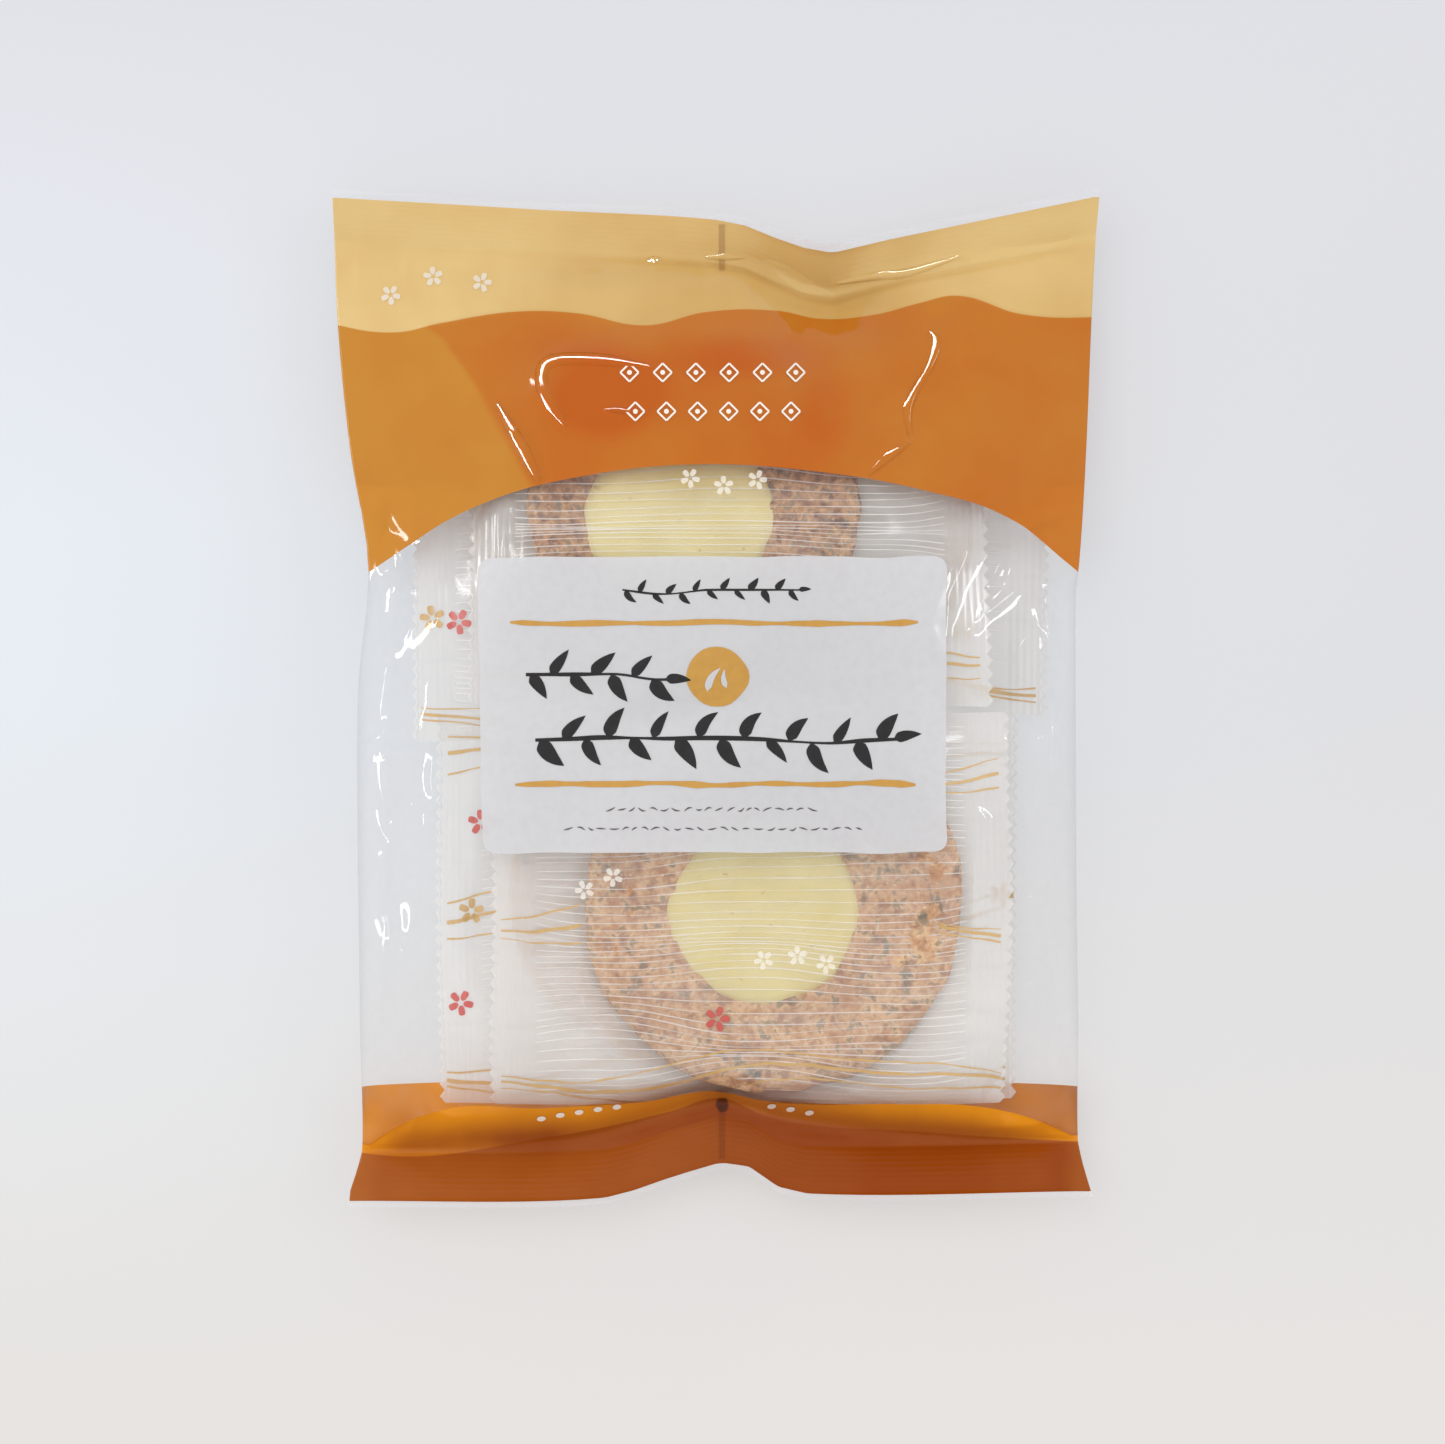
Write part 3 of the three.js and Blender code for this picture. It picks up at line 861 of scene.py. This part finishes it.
# Each twig's left end, height on the face, length and leaf size in mm, and how many leaves.
TWIGS = [(-15.8, 17.9, 30.2, 2.7, 13), (-32.2, 3.6, 24.2, 5.6, 7), (-30.6, -7.1, 61.5, 6.0, 16)]
leaves = []
for left, middle, length, size, count in TWIGS:
    x = np.linspace(left, left + length, 12)
    stem = middle + 0.16 * size * noise(x, 0, 9, count)
    width = 0.05 * size * (1 + 0.5 * noise(x, 5, 6, count))
    leaves.append(stroke(np.stack([x, stem], -1), width, 80))
    for k in range(count):
        at = left + length * (k + 0.2) / count
        side = 1 if k % 2 else -1
        angle = side * draw.uniform(40, 62)
        long = size * draw.uniform(0.85, 1.05)
        leaves.append(leaf(at, np.interp(at, x, stem), angle, long, 0.2 * long * draw.uniform(0.85, 1.15),
                           side * draw.uniform(-0.05, 0.16)))
    leaves.append(leaf(x[-1] - 0.1 * size, stem[-1], draw.uniform(-8, 12), 0.8 * size, 0.15 * size, 0.05))
print_shapes("label_leaves", leaves, black_ink)
print_shapes("label_blob_leaf", [leaf(-1.4, 1.0, 60, 4.6, 0.62), leaf(1.9, 1.6, 96, 3.2, 0.45)],
             white_ink, lift=INK_LIFT + 0.06)

grey_ink = ink("grey_ink", "#55504f", "#6a6563", 0.9)
dashes = []
for left, right, y in ((-18.6, 17.3, -19.1), (-25.8, 24.7, -22.4)):
    x = left
    while x < right:
        size = draw.uniform(0.9, 1.7)
        rise = draw.uniform(-0.35, 0.35)
        bend = draw.uniform(-0.3, 0.3)
        points = [(x, y - rise), (x + size / 2, y + bend), (x + size, y + rise)]
        dashes.append(stroke(points, [0.05, 0.14, 0.04], 7))
        x += size + draw.uniform(0.35, 0.8)
print_shapes("label_dashes", dashes, grey_ink)


def lozenge(x, y, half, thickness):
    """An outlined square that stands on its corner."""
    corners = [(x + half, y), (x, y + half), (x - half, y), (x, y - half), (x + half, y)]
    return [stroke([a, b], [thickness, thickness], 4) for a, b in zip(corners, corners[1:])]


pale_ink = ink("pale_ink", "#f6ecdd", "#efe2ce", 0.92)
header_marks = []
for y, left, right in ((55.1, -14.6, 13.6), (48.5, -13.6, 12.8)):
    for x in np.linspace(left, right, 6):
        header_marks += lozenge(x, y, 1.55, 0.16) + [oval(x, y, 0.42, 0.42)]
print_shapes("header_lozenges", header_marks, pale_ink)


def blossoms(places, size):
    """Small flowers, each at a place and turn: five rounded petals round an open middle."""
    petals = []
    for x, y, turn in places:
        for angle in range(turn, turn + 360, 72):
            out = turned(x, y, 0.58 * size, 0, angle)
            petals.append(oval(*out, 0.4 * size, 0.27 * size, angle, wobble=0.15))
    return petals


# Each blossom's place on the face in mm and its turn in degrees.
BLOSSOMS = [(-55.2, 68.3, 60), (-48, 71.4, 25), (-39.7, 70.4, 0), (-4.3, 37.2, 60), (1.4, 35.9, 20),
            (7.1, 36.9, 0), (-22.2, -32.8, -30), (-17.4, -30.6, -20), (8.2, -44.7, -25), (13.9, -44, 20),
            (18.8, -45.4, 50)]
thin_ink = ink("thin_pale_ink", "#f6f0e4", "#efe8da", 0.58)
print_shapes("film_blossoms", blossoms(BLOSSOMS, 1.75), thin_ink)

FOOTER_DOTS = [(-29.6, -71.6), (-26.4, -71.0), (-23.2, -70.5), (-20, -70), (-16.8, -69.6), (9.6, -69.5),
               (12.8, -70), (16, -70.6)]
dots = [oval(x, y, 0.75, 0.42, 8) for x, y in FOOTER_DOTS]
print_shapes("footer_dots", dots, pale_ink)

# Where the tube's seam passes through the two fused ends it shows as a darker strip.
SEAM_X, SEAM_HALF = (SEAM_LEFT + SEAM_RIGHT) / 2, 0.55  # mm
seam_ink = ink("seam_shadow", "#7a3d12", "#6a330e", 0.16)
seam_shapes = [stroke([(SEAM_X, y), (SEAM_X, y + size / 2), (SEAM_X, y + size)], [SEAM_HALF] * 3, 12)
               for y, size in ((-78.6, 9.0), (72.4, 8.0))]
print_shapes("seam_strips", seam_shapes, seam_ink)
# In the pinch the seam's double film and painted shade make one dark spot.
pinch_shade_ink = ink("seam_and_shade_in_the_pinch", "#4a1a08", "#3c1406", 0.55)
print_shapes("seam_pinch", [oval(SEAM_X, -69.3, 1.0, 1.3, wobble=0.3, seed=4)], pinch_shade_ink)

# ---------------- sharp folds
# Where the printed film is pulled into a sharp fold its crest stands up as a thin round
# welt, which mirrors light along its length. Each is a strip with an arched section, in
# the same print as the film it lies on.

crests = bpy.data.collections.new("fold_crests")


def fold_crest(name, points, half_width, height, steps=80):
    """One crest along a line of points on the face, narrow and low at its ends."""
    widths = [0.3 * half_width] + [half_width] * (len(points) - 2) + [0.3 * half_width]
    face = stroke(points, widths, steps)[0].reshape(steps, 3, 2)
    seat = laid_on(front_tree, face[..., 0], face[..., 1], 0.0)
    for _ in range(6):  # times smoothed along its length
        seat[1:-1] = (seat[:-2] + 2 * seat[1:-1] + seat[2:]) / 4
    across = np.linspace(-1, 1, 13)[None, :, None]
    left, middle, right = (seat[:, [k]] for k in range(3))
    sheet = middle + across * (right - left) / 2 + across**2 * ((left + right) / 2 - middle)
    out = np.cross(right - left, np.gradient(seat[:, [1]], axis=0))
    out *= np.sign(out[..., 2:]) / np.linalg.norm(out, axis=-1, keepdims=True)
    along = np.linspace(0, 1, steps)
    rise = height * np.sin(np.pi * along) ** 0.5 * (1 + 0.3 * noise(along * 60, 0, 9, len(points)))
    sheet = sheet + out * (rise[:, None, None] * (1 - across**2) + 0.02)
    uv = face[:, [1]] + across * (face[:, [2]] - face[:, [0]]) / 2
    near = [((face_x - x) ** 2 + (face_y - y) ** 2).argmin() for x, y in face[:, 1]]
    depth = np.broadcast_to(film_depth_and_shade.ravel()[near][:, None], uv.shape[:2])
    mesh = sheet_mesh(name, sheet, face_uv(uv[..., 0], uv[..., 1]), depth=depth)
    crests.objects.link(show(name, mesh, header_ink))


# Each crest: points in mm on the bag's face, then its half width and height in mm.
FOLD_CRESTS = [
    ([(-11, 56.2), (-18.9, 57.3), (-25.9, 57.5), (-28.8, 56.7), (-29.7, 54.5), (-28.8, 51),
      (-25.3, 46)], 1.1, 0.55),
    ([(-37.3, 50.1), (-34.3, 44.8), (-31.9, 40.4), (-29.9, 36)], 1.1, 0.55),
    ([(20.6, 70.3), (27.6, 71.6), (32.9, 72.2), (41.9, 75)], 0.8, 0.4),
    ([(-11.7, 74.2), (-10.4, 74.4), (-9.1, 74.5)], 0.6, 0.3),
    ([(-1.8, 74.7), (1.6, 74.8), (5, 74.7)], 0.6, 0.3),
    ([(36.4, 62.4), (37.6, 60.2), (36.4, 56.2), (33.8, 51.8), (32.7, 48.3), (33.3, 43.5)], 0.8, 0.36),
    ([(33.3, 43.5), (29.8, 41.1), (25.9, 37.6)], 0.8, 0.34),
    ([(-18.9, 48.9), (-16.5, 48.8), (-14.1, 48.5)], 0.6, 0.3),
]
for number, (points, half_width, height) in enumerate(FOLD_CRESTS):
    fold_crest(f"fold_crest_{number + 1}", points, half_width, height)

# Three larger boxes that only the crests mirror, and that light nothing else.
for name, place, size, power in (("crest_left", (-0.95, 0.05, 0.24), (0.50, 0.36), 25),
                                 ("crest_top", (-0.27, 0.93, 0.24), (0.84, 0.36), 42),
                                 ("crest_front", (0.25, -0.95, 0.24), (0.30, 0.30), 8)):
    lamp = soft_box(name, place, size, power)
    lamp.visible_diffuse = False
    lamp.light_linking.receiver_collection = crests

# ---------------- crackers
# Thin baked crackers with a rough, speckled face and a wavy rim, each with a smooth disc
# of cheese melted onto its middle. They lie in three layers of two.

CRACKER_THICKNESS = 4.3  # mm
CHEESE_RADIUS, CHEESE_RISE = 16.0, 1.3  # mm, its rise above the cracker's face
PIT_DEPTH = 0.55  # mm at most
LAYERS = 3

# One row for each wrapped cracker: its layer from the top, the wrapper's middle, the cracker's
# middle and radius, and the cheese's middle from the cracker's, all in mm.
PACK_FIELDS = ("name", "layer", "wrap_x", "wrap_y", "x", "y", "radius", "cheese_x", "cheese_y")
PACK_ROWS = [
    ("upper_1", 0, 2.4, 31.6, -3.3, 31.2, 27.6, -2.6, -1.2),
    ("lower_1", 0, 5.9, -35.8, 9.8, -35.2, 31.3, -1.6, -0.3),
    ("upper_2", 1, -8.2, 25.5, -10.6, 25.5, 29.8, 1.2, -0.8),
    ("lower_2", 1, -3.9, -35.8, -5.0, -33.0, 29.6, 0.5, 1.1),
    ("upper_3", 2, 13.6, 30.0, 15.0, 28.5, 29.4, -1.0, 0.4),
    ("lower_3", 2, 8.3, -35.9, 7.5, -33.2, 29.5, 0.2, -1.0),
]
PACKS = [SimpleNamespace(**dict(zip(PACK_FIELDS, row))) for row in PACK_ROWS]

# The room inside the bag on a plain 1 mm grid.
MAP_X, MAP_Y = np.arange(-58, 59.0), np.arange(-80, 75.0)
map_x, map_y = np.meshgrid(MAP_X, MAP_Y)
front_map = smoothed(heights(map_x, map_y, True), 1.5)
back_map = smoothed(heights(map_x, map_y, False), 1.5)


def sample(grid, x, y):
    """A map's value at each x, y, straight between its points."""
    u = np.clip(x - MAP_X[0], 0, len(MAP_X) - 1.001)
    v = np.clip(y - MAP_Y[0], 0, len(MAP_Y) - 1.001)
    i, j = u.astype(int), v.astype(int)
    return blend(grid, i, j, u - i, v - j)


ROOM_BELOW, ROOM_ABOVE = 0.4, 0.7  # mm kept free over the back film and under the front film


def level(share, x, y):
    """Height inside the bag: share 0 is on the back film and 1 is under the front film."""
    low, high = sample(back_map, x, y) + ROOM_BELOW, sample(front_map, x, y) - ROOM_ABOVE
    return low + (high - low) * share


def layer_share(pack):
    """Where the middle of the pack's layer is between the back film and the front film."""
    return 1 - (pack.layer + 0.5) / LAYERS


STEEPEST = 0.45  # slope of a cracker
BUMPS = 0.45  # mm that a cracker's bumps stand over its mean face
SHEETS = 0.4  # mm for the wrappers between two crackers


def lie_under(ceiling, pack):
    """Two slopes and the height of its middle with which a cracker lies close under a ceiling,
    and over the room that the crackers under it need."""
    angle, ring = np.meshgrid(np.linspace(0, 2 * np.pi, 36, endpoint=False), np.linspace(0, 1, 9))
    x, y = pack.radius * ring * np.cos(angle), pack.radius * ring * np.sin(angle)
    place = x + pack.x, y + pack.y
    top = CRACKER_THICKNESS / 2 + BUMPS + CHEESE_RISE * (ring * pack.radius < CHEESE_RADIUS + 1)
    room = sample(ceiling, *place) - top
    under = (LAYERS - 1 - pack.layer) * (CRACKER_THICKNESS + BUMPS + SHEETS) + ROOM_ABOVE
    ground = sample(back_map, *place) + under + CRACKER_THICKNESS / 2
    best = None
    for slope_x in np.linspace(-STEEPEST, STEEPEST, 31):
        for slope_y in np.linspace(-STEEPEST, STEEPEST, 31):
            lean = slope_x * x + slope_y * y
            height = (room - lean).min()
            short = min(0, (height + lean - ground).min())
            # High and level is best, and too little room underneath is worst.
            score = height - 3 * math.hypot(slope_x, slope_y) + 4 * short
            if best is None or score > best[0]:
                best = (score, slope_x, slope_y, height)
    return best[1:]


def in_plane(pack, x, y):
    """Height of the middle of the cracker's thickness at x, y."""
    slope_x, slope_y, height = pack.plane
    return height + slope_x * (x - pack.x) + slope_y * (y - pack.y)


# Each cracker lies under the film or under the crackers above it, and in its own layer.
ceiling = front_map - 0.6
for pack in sorted(PACKS, key=lambda pack: pack.layer):
    layer_top = level(layer_share(pack) + 0.5 / LAYERS, map_x, map_y) + ROOM_ABOVE
    pack.plane = lie_under(np.minimum(ceiling, layer_top), pack)
    pack.ceiling = ceiling
    covered = np.hypot(map_x - pack.x, map_y - pack.y) < pack.radius + 1
    underside = in_plane(pack, map_x, map_y) - CRACKER_THICKNESS / 2 - SHEETS
    ceiling = np.where(covered, np.minimum(ceiling, underside), ceiling)


def disc_rings(share, spokes, radius, waves):
    """Rings of points round a middle, each a share of the way out to a wavy rim.

    waves has the height of each wave of the rim, its length on a circle of 40 mm, and its seed."""
    angle = np.linspace(0, 2 * np.pi, spokes, endpoint=False)
    c, s = np.cos(angle), np.sin(angle)
    rim = radius + sum(height * noise(40 * c, 40 * s, cell, seed) for height, cell, seed in waves)
    return share * rim * c, share * rim * s


def disc_mesh(name, pack, centre, x, y, tops, bottoms):
    """A closed disc from rings of points, top then underside, on the pack's plane."""
    rings, spokes = x.shape
    x, y = centre[0] + x, centre[1] + y
    top = np.stack([x, y, in_plane(pack, x, y) + tops], -1)
    under = np.stack([x, y, in_plane(pack, x, y) + bottoms], -1)[::-1]
    loops = np.concatenate([top, under])
    middles = [np.array([[*centre, loops[k, :, 2].mean()]]) for k in (0, -1)]
    points = np.concatenate([middles[0], loops.reshape(-1, 3), middles[1]])
    here = 1 + np.arange(2 * rings * spokes).reshape(2 * rings, spokes)
    after = np.roll(here, -1, 1)
    faces = ring_quads(here)
    faces += [(0, a, b) for a, b in zip(here[0].tolist(), after[0].tolist())]
    faces += [(a, len(points) - 1, b) for a, b in zip(here[-1].tolist(), after[-1].tolist())]
    return smooth_mesh(name, points, faces)


def cracker_mesh(pack, seed):
    """A cracker with a round edge, lumps and pits, more finely built where it lies in front."""
    rings, spokes, rough = (50, 170, 1.0) if pack.layer == 0 else (24, 96, 0.4)
    share = np.sin(np.linspace(0.02, 1, rings) * np.pi / 2)[:, None]
    x, y = disc_rings(share, spokes, pack.radius, [(0.7, 17, seed), (0.35, 5, seed + 1)])
    rounding = np.sqrt(np.clip(1 - share**14, 0, 1))
    lumps = 0.5 * noise(x, y, 7, seed + 2) + 0.32 * noise(x, y, 3, seed + 3)
    lumps = rough * (lumps + 0.2 * noise(x, y, 1.5, seed + 4))
    pits = -PIT_DEPTH * np.maximum(noise(x, y, 2.3, seed + 5) - 0.35, 0) / 0.65
    bow = 0.8 * rough * noise(x, y, 26, seed + 6) * share
    half = CRACKER_THICKNESS / 2
    tops = bow + (half + lumps + pits) * rounding
    bottoms = bow - (half - 0.4 * lumps) * rounding
    return disc_mesh("cracker", pack, (pack.x, pack.y), x, y, tops, bottoms)


def cheese_mesh(pack, seed):
    """A flat disc of cheese with a round edge, whose underside is sunk in the cracker."""
    rings, spokes = (22, 150) if pack.layer == 0 else (10, 48)
    share = np.linspace(0.04, 1, rings)[:, None]
    x, y = disc_rings(share, spokes, CHEESE_RADIUS, [(0.9, 21, seed)])
    dome = np.sqrt(np.clip(1 - share**8, 0, 1))
    sunk = 0.7  # mm that its rim sits down into the cracker
    tops = CRACKER_THICKNESS / 2 - sunk + (sunk + CHEESE_RISE + 0.12 * noise(x, y, 6, seed + 1)) * dome
    bottoms = np.full(tops.shape, CRACKER_THICKNESS / 2 - sunk - 0.4)
    centre = (pack.x + pack.cheese_x, pack.y + pack.cheese_y)
    return disc_mesh("cheese", pack, centre, x, y, tops, bottoms)


def place_in_mm(m):
    return add(m, "Mapping", {"Vector": add(m, "TexCoord", out="Object"), "Scale": (1000, 1000, 1000)})


def baked_cracker(name, crust, crumb):
    """Baked rice and prawn dough: matt, with a mottled tan crumb, dark green and red flecks,
    and small pale blisters."""
    m = new_material(name)
    place = place_in_mm(m)
    grain = add(m, "TexNoise", {"Vector": place, "Scale": 0.5, "Detail": 4.0, "Roughness": 0.6})
    light = add(m, "MapRange", {"Value": grain, "From Min": 0.36, "From Max": 0.6})
    colour = add(m, "Mix", {0: light, 6: linear(crust), 7: linear(crumb)}, out=2, data_type="RGBA")
    colour = flecked(m, place, colour, [
        (0.08, 2.5, 0.0, 0.46, 0.70, 0.50, "#a8704c"),
        (0.36, 2.5, 0.5, 0.55, 0.66, 0.60, "#8f604a"),
        (0.50, 2.5, 0.3, 0.57, 0.66, 0.62, "#5f6052"),
        (0.26, 2.5, 0.5, 0.62, 0.70, 0.60, "#54544a"),
        (1.50, 2.5, 0.0, 0.60, 0.74, 0.50, "#f2dcb8"),
    ])
    bump = add(m, "Bump", {"Strength": 0.6, "Distance": 0.0005, "Height": grain})
    surface = add(m, "BsdfPrincipled", {"Base Color": colour, "Roughness": 0.75, "Normal": bump})
    add(m, "OutputMaterial", (surface,))
    return m


def melted_cheese():
    """Processed cheese, melted and set: smooth, waxy and pale yellow with faint clouds."""
    m = new_material("melted_cheese")
    clouds, toasted = (0.12, 3.0, 0.0, 0.3, 0.7, 1.0, "#decb86"), (0.6, 1.0, 0.0, 0.72, 0.78, 0.5, "#c08a4a")
    colour = flecked(m, place_in_mm(m), linear("#e8d99c"), [clouds, toasted])
    surface = add(m, "BsdfPrincipled", {"Base Color": colour, "Roughness": 0.42})
    add(m, "OutputMaterial", (surface,))
    return m


pale_bake = baked_cracker("baked_cracker", "#bc8a60", "#e4bd94")
dark_bake = baked_cracker("well_baked_cracker", "#64391f", "#dcaa76")
melted = melted_cheese()
for number, pack in enumerate(PACKS):
    baked = dark_bake if pack.name.startswith("upper") else pale_bake
    show("cracker_" + pack.name, cracker_mesh(pack, 100 + 20 * number), baked)
    show("cheese_" + pack.name, cheese_mesh(pack, 117 + 20 * number), melted)

# ---------------- wrappers
# Each cracker is sealed in a small pillow of film: a clear front with fine wavy white
# lines, a milky back, thin ochre lines in threes, and ends that are crimped flat with
# upright ribs and cut in a zigzag.

WRAP_HALF_LENGTH, WRAP_HALF_HEIGHT = 43.4, 33.0  # mm
CRIMP = 7.2  # mm of flat, ribbed seal at each end
CRIMP_PITCH, CRIMP_HEIGHT = 1.2, 0.06  # mm
TOOTH_PITCH, TOOTH_DEPTH = 2.2, 0.9  # mm
SHEET_HALF = 0.1  # mm at least from the middle of a wrapper to each of its sheets
FRONT_ROOM, BACK_ROOM = 0.5, 0.4  # mm between a cracker's faces and the sheets


def wrapper_sheets(pack, seed):
    """Points of the wrapper's front sheet and of its back sheet, and their places laid flat."""
    crimp_x = np.linspace(WRAP_HALF_LENGTH - CRIMP, WRAP_HALF_LENGTH, 24)
    middle_x = np.linspace(-WRAP_HALF_LENGTH + CRIMP, WRAP_HALF_LENGTH - CRIMP, 46)[1:-1]
    row_count = 121 if pack.layer < 2 else 61
    flat_x, flat_y = np.meshgrid(np.concatenate([-crimp_x[::-1], middle_x, crimp_x]),
                                 np.linspace(-WRAP_HALF_HEIGHT, WRAP_HALF_HEIGHT, row_count))
    to_end = WRAP_HALF_LENGTH - CRIMP - np.abs(flat_x)
    to_side = WRAP_HALF_HEIGHT - np.abs(flat_y)
    in_crimp = step(0.6, -0.6, to_end)
    cut = np.abs((flat_y / TOOTH_PITCH + 64) % 1 - 0.5) * 2 * TOOTH_DEPTH
    at_end = step(WRAP_HALF_LENGTH - 1.2, WRAP_HALF_LENGTH, np.abs(flat_x))
    x = pack.wrap_x + flat_x - np.sign(flat_x) * cut * at_end + 0.6 * noise(flat_x, flat_y, 30, seed)
    y = pack.wrap_y + flat_y + 0.5 * noise(flat_x, flat_y, 24, seed + 1)

    # Over its cracker a sheet stands off by the cracker's thickness and the cheese's rise, and
    # from there it comes down to the middle of its layer at the borders.
    share = layer_share(pack)
    from_x, from_y = x - pack.x, y - pack.y
    from_cracker = np.hypot(from_x, from_y) - pack.radius
    on_plane = step(12, -2, from_cracker)
    middle = level(share, x, y) * (1 - on_plane) + in_plane(pack, x, y) * on_plane
    border = np.maximum(np.minimum(to_end, to_side * 1.6), 0)
    away = np.maximum(from_cracker, 0)
    over = np.where(from_cracker <= 0, 1.0, border / (border + away + 0.01))
    from_cheese = np.hypot(from_x - pack.cheese_x, from_y - pack.cheese_y)
    bulge = CRACKER_THICKNESS / 2 + FRONT_ROOM + CHEESE_RISE * step(22, 14, from_cheese)
    # Pleats run in from the crimped ends, and the film round the cracker is crumpled.
    pleats = np.abs(noise(flat_x * 0.12, flat_y, 2.6, seed + 2)) * np.exp(-np.maximum(to_end, 0) / 9)
    crumple = 0.6 * noise(flat_x, flat_y, 9, seed + 3) + 0.25 * noise(flat_x, flat_y, 4, seed + 4)
    crumple = crumple * step(0, 6, away) * step(-3, 1, to_end)
    ribs = CRIMP_HEIGHT * np.sin(flat_x * 2 * np.pi / CRIMP_PITCH) * in_crimp
    front = middle + SHEET_HALF + bulge * over**1.3 + 0.7 * pleats * step(-1, 3, to_end) + crumple
    back = middle - SHEET_HALF - (CRACKER_THICKNESS / 2 + BACK_ROOM) * over**1.3 + crumple
    # Both stay in their layer beside the cracker, inside the bag, and clear of each other, with
    # a tenth of a millimetre or more to spare.
    ceiling = level(min(1, share + 0.5 / LAYERS), x, y) - 0.15
    bottom = level(max(0, share - 0.5 / LAYERS), x, y) + 0.1
    free = step(1, 6, from_cracker)
    front = front + free * (np.minimum(front, ceiling) - front)
    back = back + free * (np.maximum(back, bottom) - back)
    back = np.maximum(back, sample(back_map, x, y) + 0.25)
    lid = np.minimum(sample(pack.ceiling, x, y), sample(pack.ceiling, x, y - 1.5)) + 0.1
    front = np.minimum(np.maximum(front, back + 0.12), lid)
    back = np.minimum(back, front - 0.1)
    uv = np.stack([flat_x, flat_y], -1) / 100 + 0.5  # 100 mm to the map's width
    return np.stack([x, y, front + ribs], -1), np.stack([x, y, back + ribs], -1), uv


def wrapper_film(name, least, most):
    """Polypropylene with a milky bloom that hides least to most of what is behind, in soft
    streaks along the wrapper, and lets light through."""
    m = new_material(name)
    flat = add(m, "UVMap", uv_map="Flat")
    place = add(m, "Mapping", {"Vector": flat, "Scale": (6, 40, 1)})
    bloom = drift(m, place, 1.0, 3.0, 0.3, 0.7, least, most)
    return hazy_film(m, bloom, "#faf8f4", 0.4, edge_mirror(m), 0.14)


def drawn_on(pack, x, y, width, steps):
    """A stroke through places on a wrapper laid flat, as corners and faces on the bag's face."""
    shown = seen_from_front(x + pack.wrap_x, y + pack.wrap_y, level(layer_share(pack), x, y))
    return stroke(np.stack(shown, -1), width, steps)


def white_lines(pack, seed):
    """Fine hand-drawn white lines, which run along the wrapper and draw together and apart."""
    shapes = []
    count, steps = (52, 80) if pack.layer < 2 else (24, 40)
    x = np.linspace(-WRAP_HALF_LENGTH + CRIMP + 0.8, WRAP_HALF_LENGTH - CRIMP - 0.8, 24)
    for height in np.linspace(2.5 - WRAP_HALF_HEIGHT, WRAP_HALF_HEIGHT - 2.5, count):
        bunch = 2.5 * noise(x * 0.36, height, 9, seed) + 0.25 * noise(x, 9 * height, 16, seed + 1)
        y = height + bunch * step(WRAP_HALF_HEIGHT, WRAP_HALF_HEIGHT - 8, abs(height))
        width = 0.075 * (1 + 0.6 * noise(x, 7 * height, 6, seed + 2))
        shapes.append(drawn_on(pack, x, y, width, steps))
    return shapes


def ochre_lines(pack, seed):
    """Hand-drawn ochre lines in threes, the middle one the thickest. They run along the wrapper
    near its long sides, and on the lower packs also along its middle, at the ends alone."""
    shapes = []
    full, ends_only = [(-41.4, 41.4)], [(-41.4, -28.0), (31.0, 41.4)]
    along_middle = ends_only if pack.name.startswith("lower") else []
    for bundle, (height, spans) in enumerate(((-27.0, full), (-1.0, along_middle), (24.0, full))):
        for line, (offset, half) in enumerate(((-1.9, 0.13), (0.0, 0.26), (1.7, 0.13))):
            phase = 1.1 * bundle + 0.35 * line + 0.4 * seed
            for span in spans:
                x = np.linspace(*span, 40)
                rise = 2.2 * np.sin(x * 0.07 + phase) + 0.8 * np.sin(x * 0.16 + 2 * phase)
                rise = rise + 0.15 * noise(x, 0, 3, seed) + offset * (1 + 0.35 * np.sin(x * 0.05 + phase))
                width = half * (1 + 0.5 * noise(x, line, 2.5, seed + 1))
                shapes.append(drawn_on(pack, x, height + rise, width, 120))
    return shapes


front_wrap = wrapper_film("wrapper_film_front", 0.03, 0.22)
back_wrap = wrapper_film("wrapper_film_back", 0.6, 0.8)
wrap_white = ink("wrapper_white_ink", "#fdfaf6", "#f4efe9", 0.5)
wrap_ochre = ink("wrapper_ochre_ink", "#d9ae62", "#cfa052", 0.8)
wrap_red = ink("wrapper_red_ink", "#d2493c", "#c43a30", 0.85)
# The small blossoms on each wrapper: place on the bag's face in mm and turn in degrees.
RED_MARKS = {"upper_2": [(-43.6, 12.8, -10)], "lower_1": [(0.3, -54.7, 0)],
             "lower_2": [(-43.3, -52, -10), (-39.9, -21.3, 20)]}
OCHRE_MARKS = {"upper_2": [(-48.1, 13.4, 30)], "upper_3": [(42.0, 11.9, 10)],
               "lower_2": [(-41.5, -36.4, 15)], "lower_3": [(48.6, -33.6, 0)]}
for number, pack in enumerate(PACKS):
    name = pack.name
    front, back, uv = wrapper_sheets(pack, 300 + 10 * number)
    show("wrapper_front_" + name, sheet_mesh("wrapper", front, uv, "Flat"), front_wrap)
    under = sheet_mesh("wrapper", back, uv, "Flat")
    under.flip_normals()
    show("wrapper_back_" + name, under, back_wrap)
    tree = felt_sheet(front)
    for kind, shapes, colour, lift in (
        ("whites", white_lines(pack, 700 + 10 * number), wrap_white, 0.04),
        ("lines", ochre_lines(pack, number), wrap_ochre, 0.07),
        ("red", blossoms(RED_MARKS.get(name, ()), 2.3), wrap_red, 0.09),
        ("ochre", blossoms(OCHRE_MARKS.get(name, ()), 2.3), wrap_ochre, 0.09),
    ):
        if shapes:
            print_shapes(f"wrapper_{kind}_{name}", shapes, colour, tree, lift)
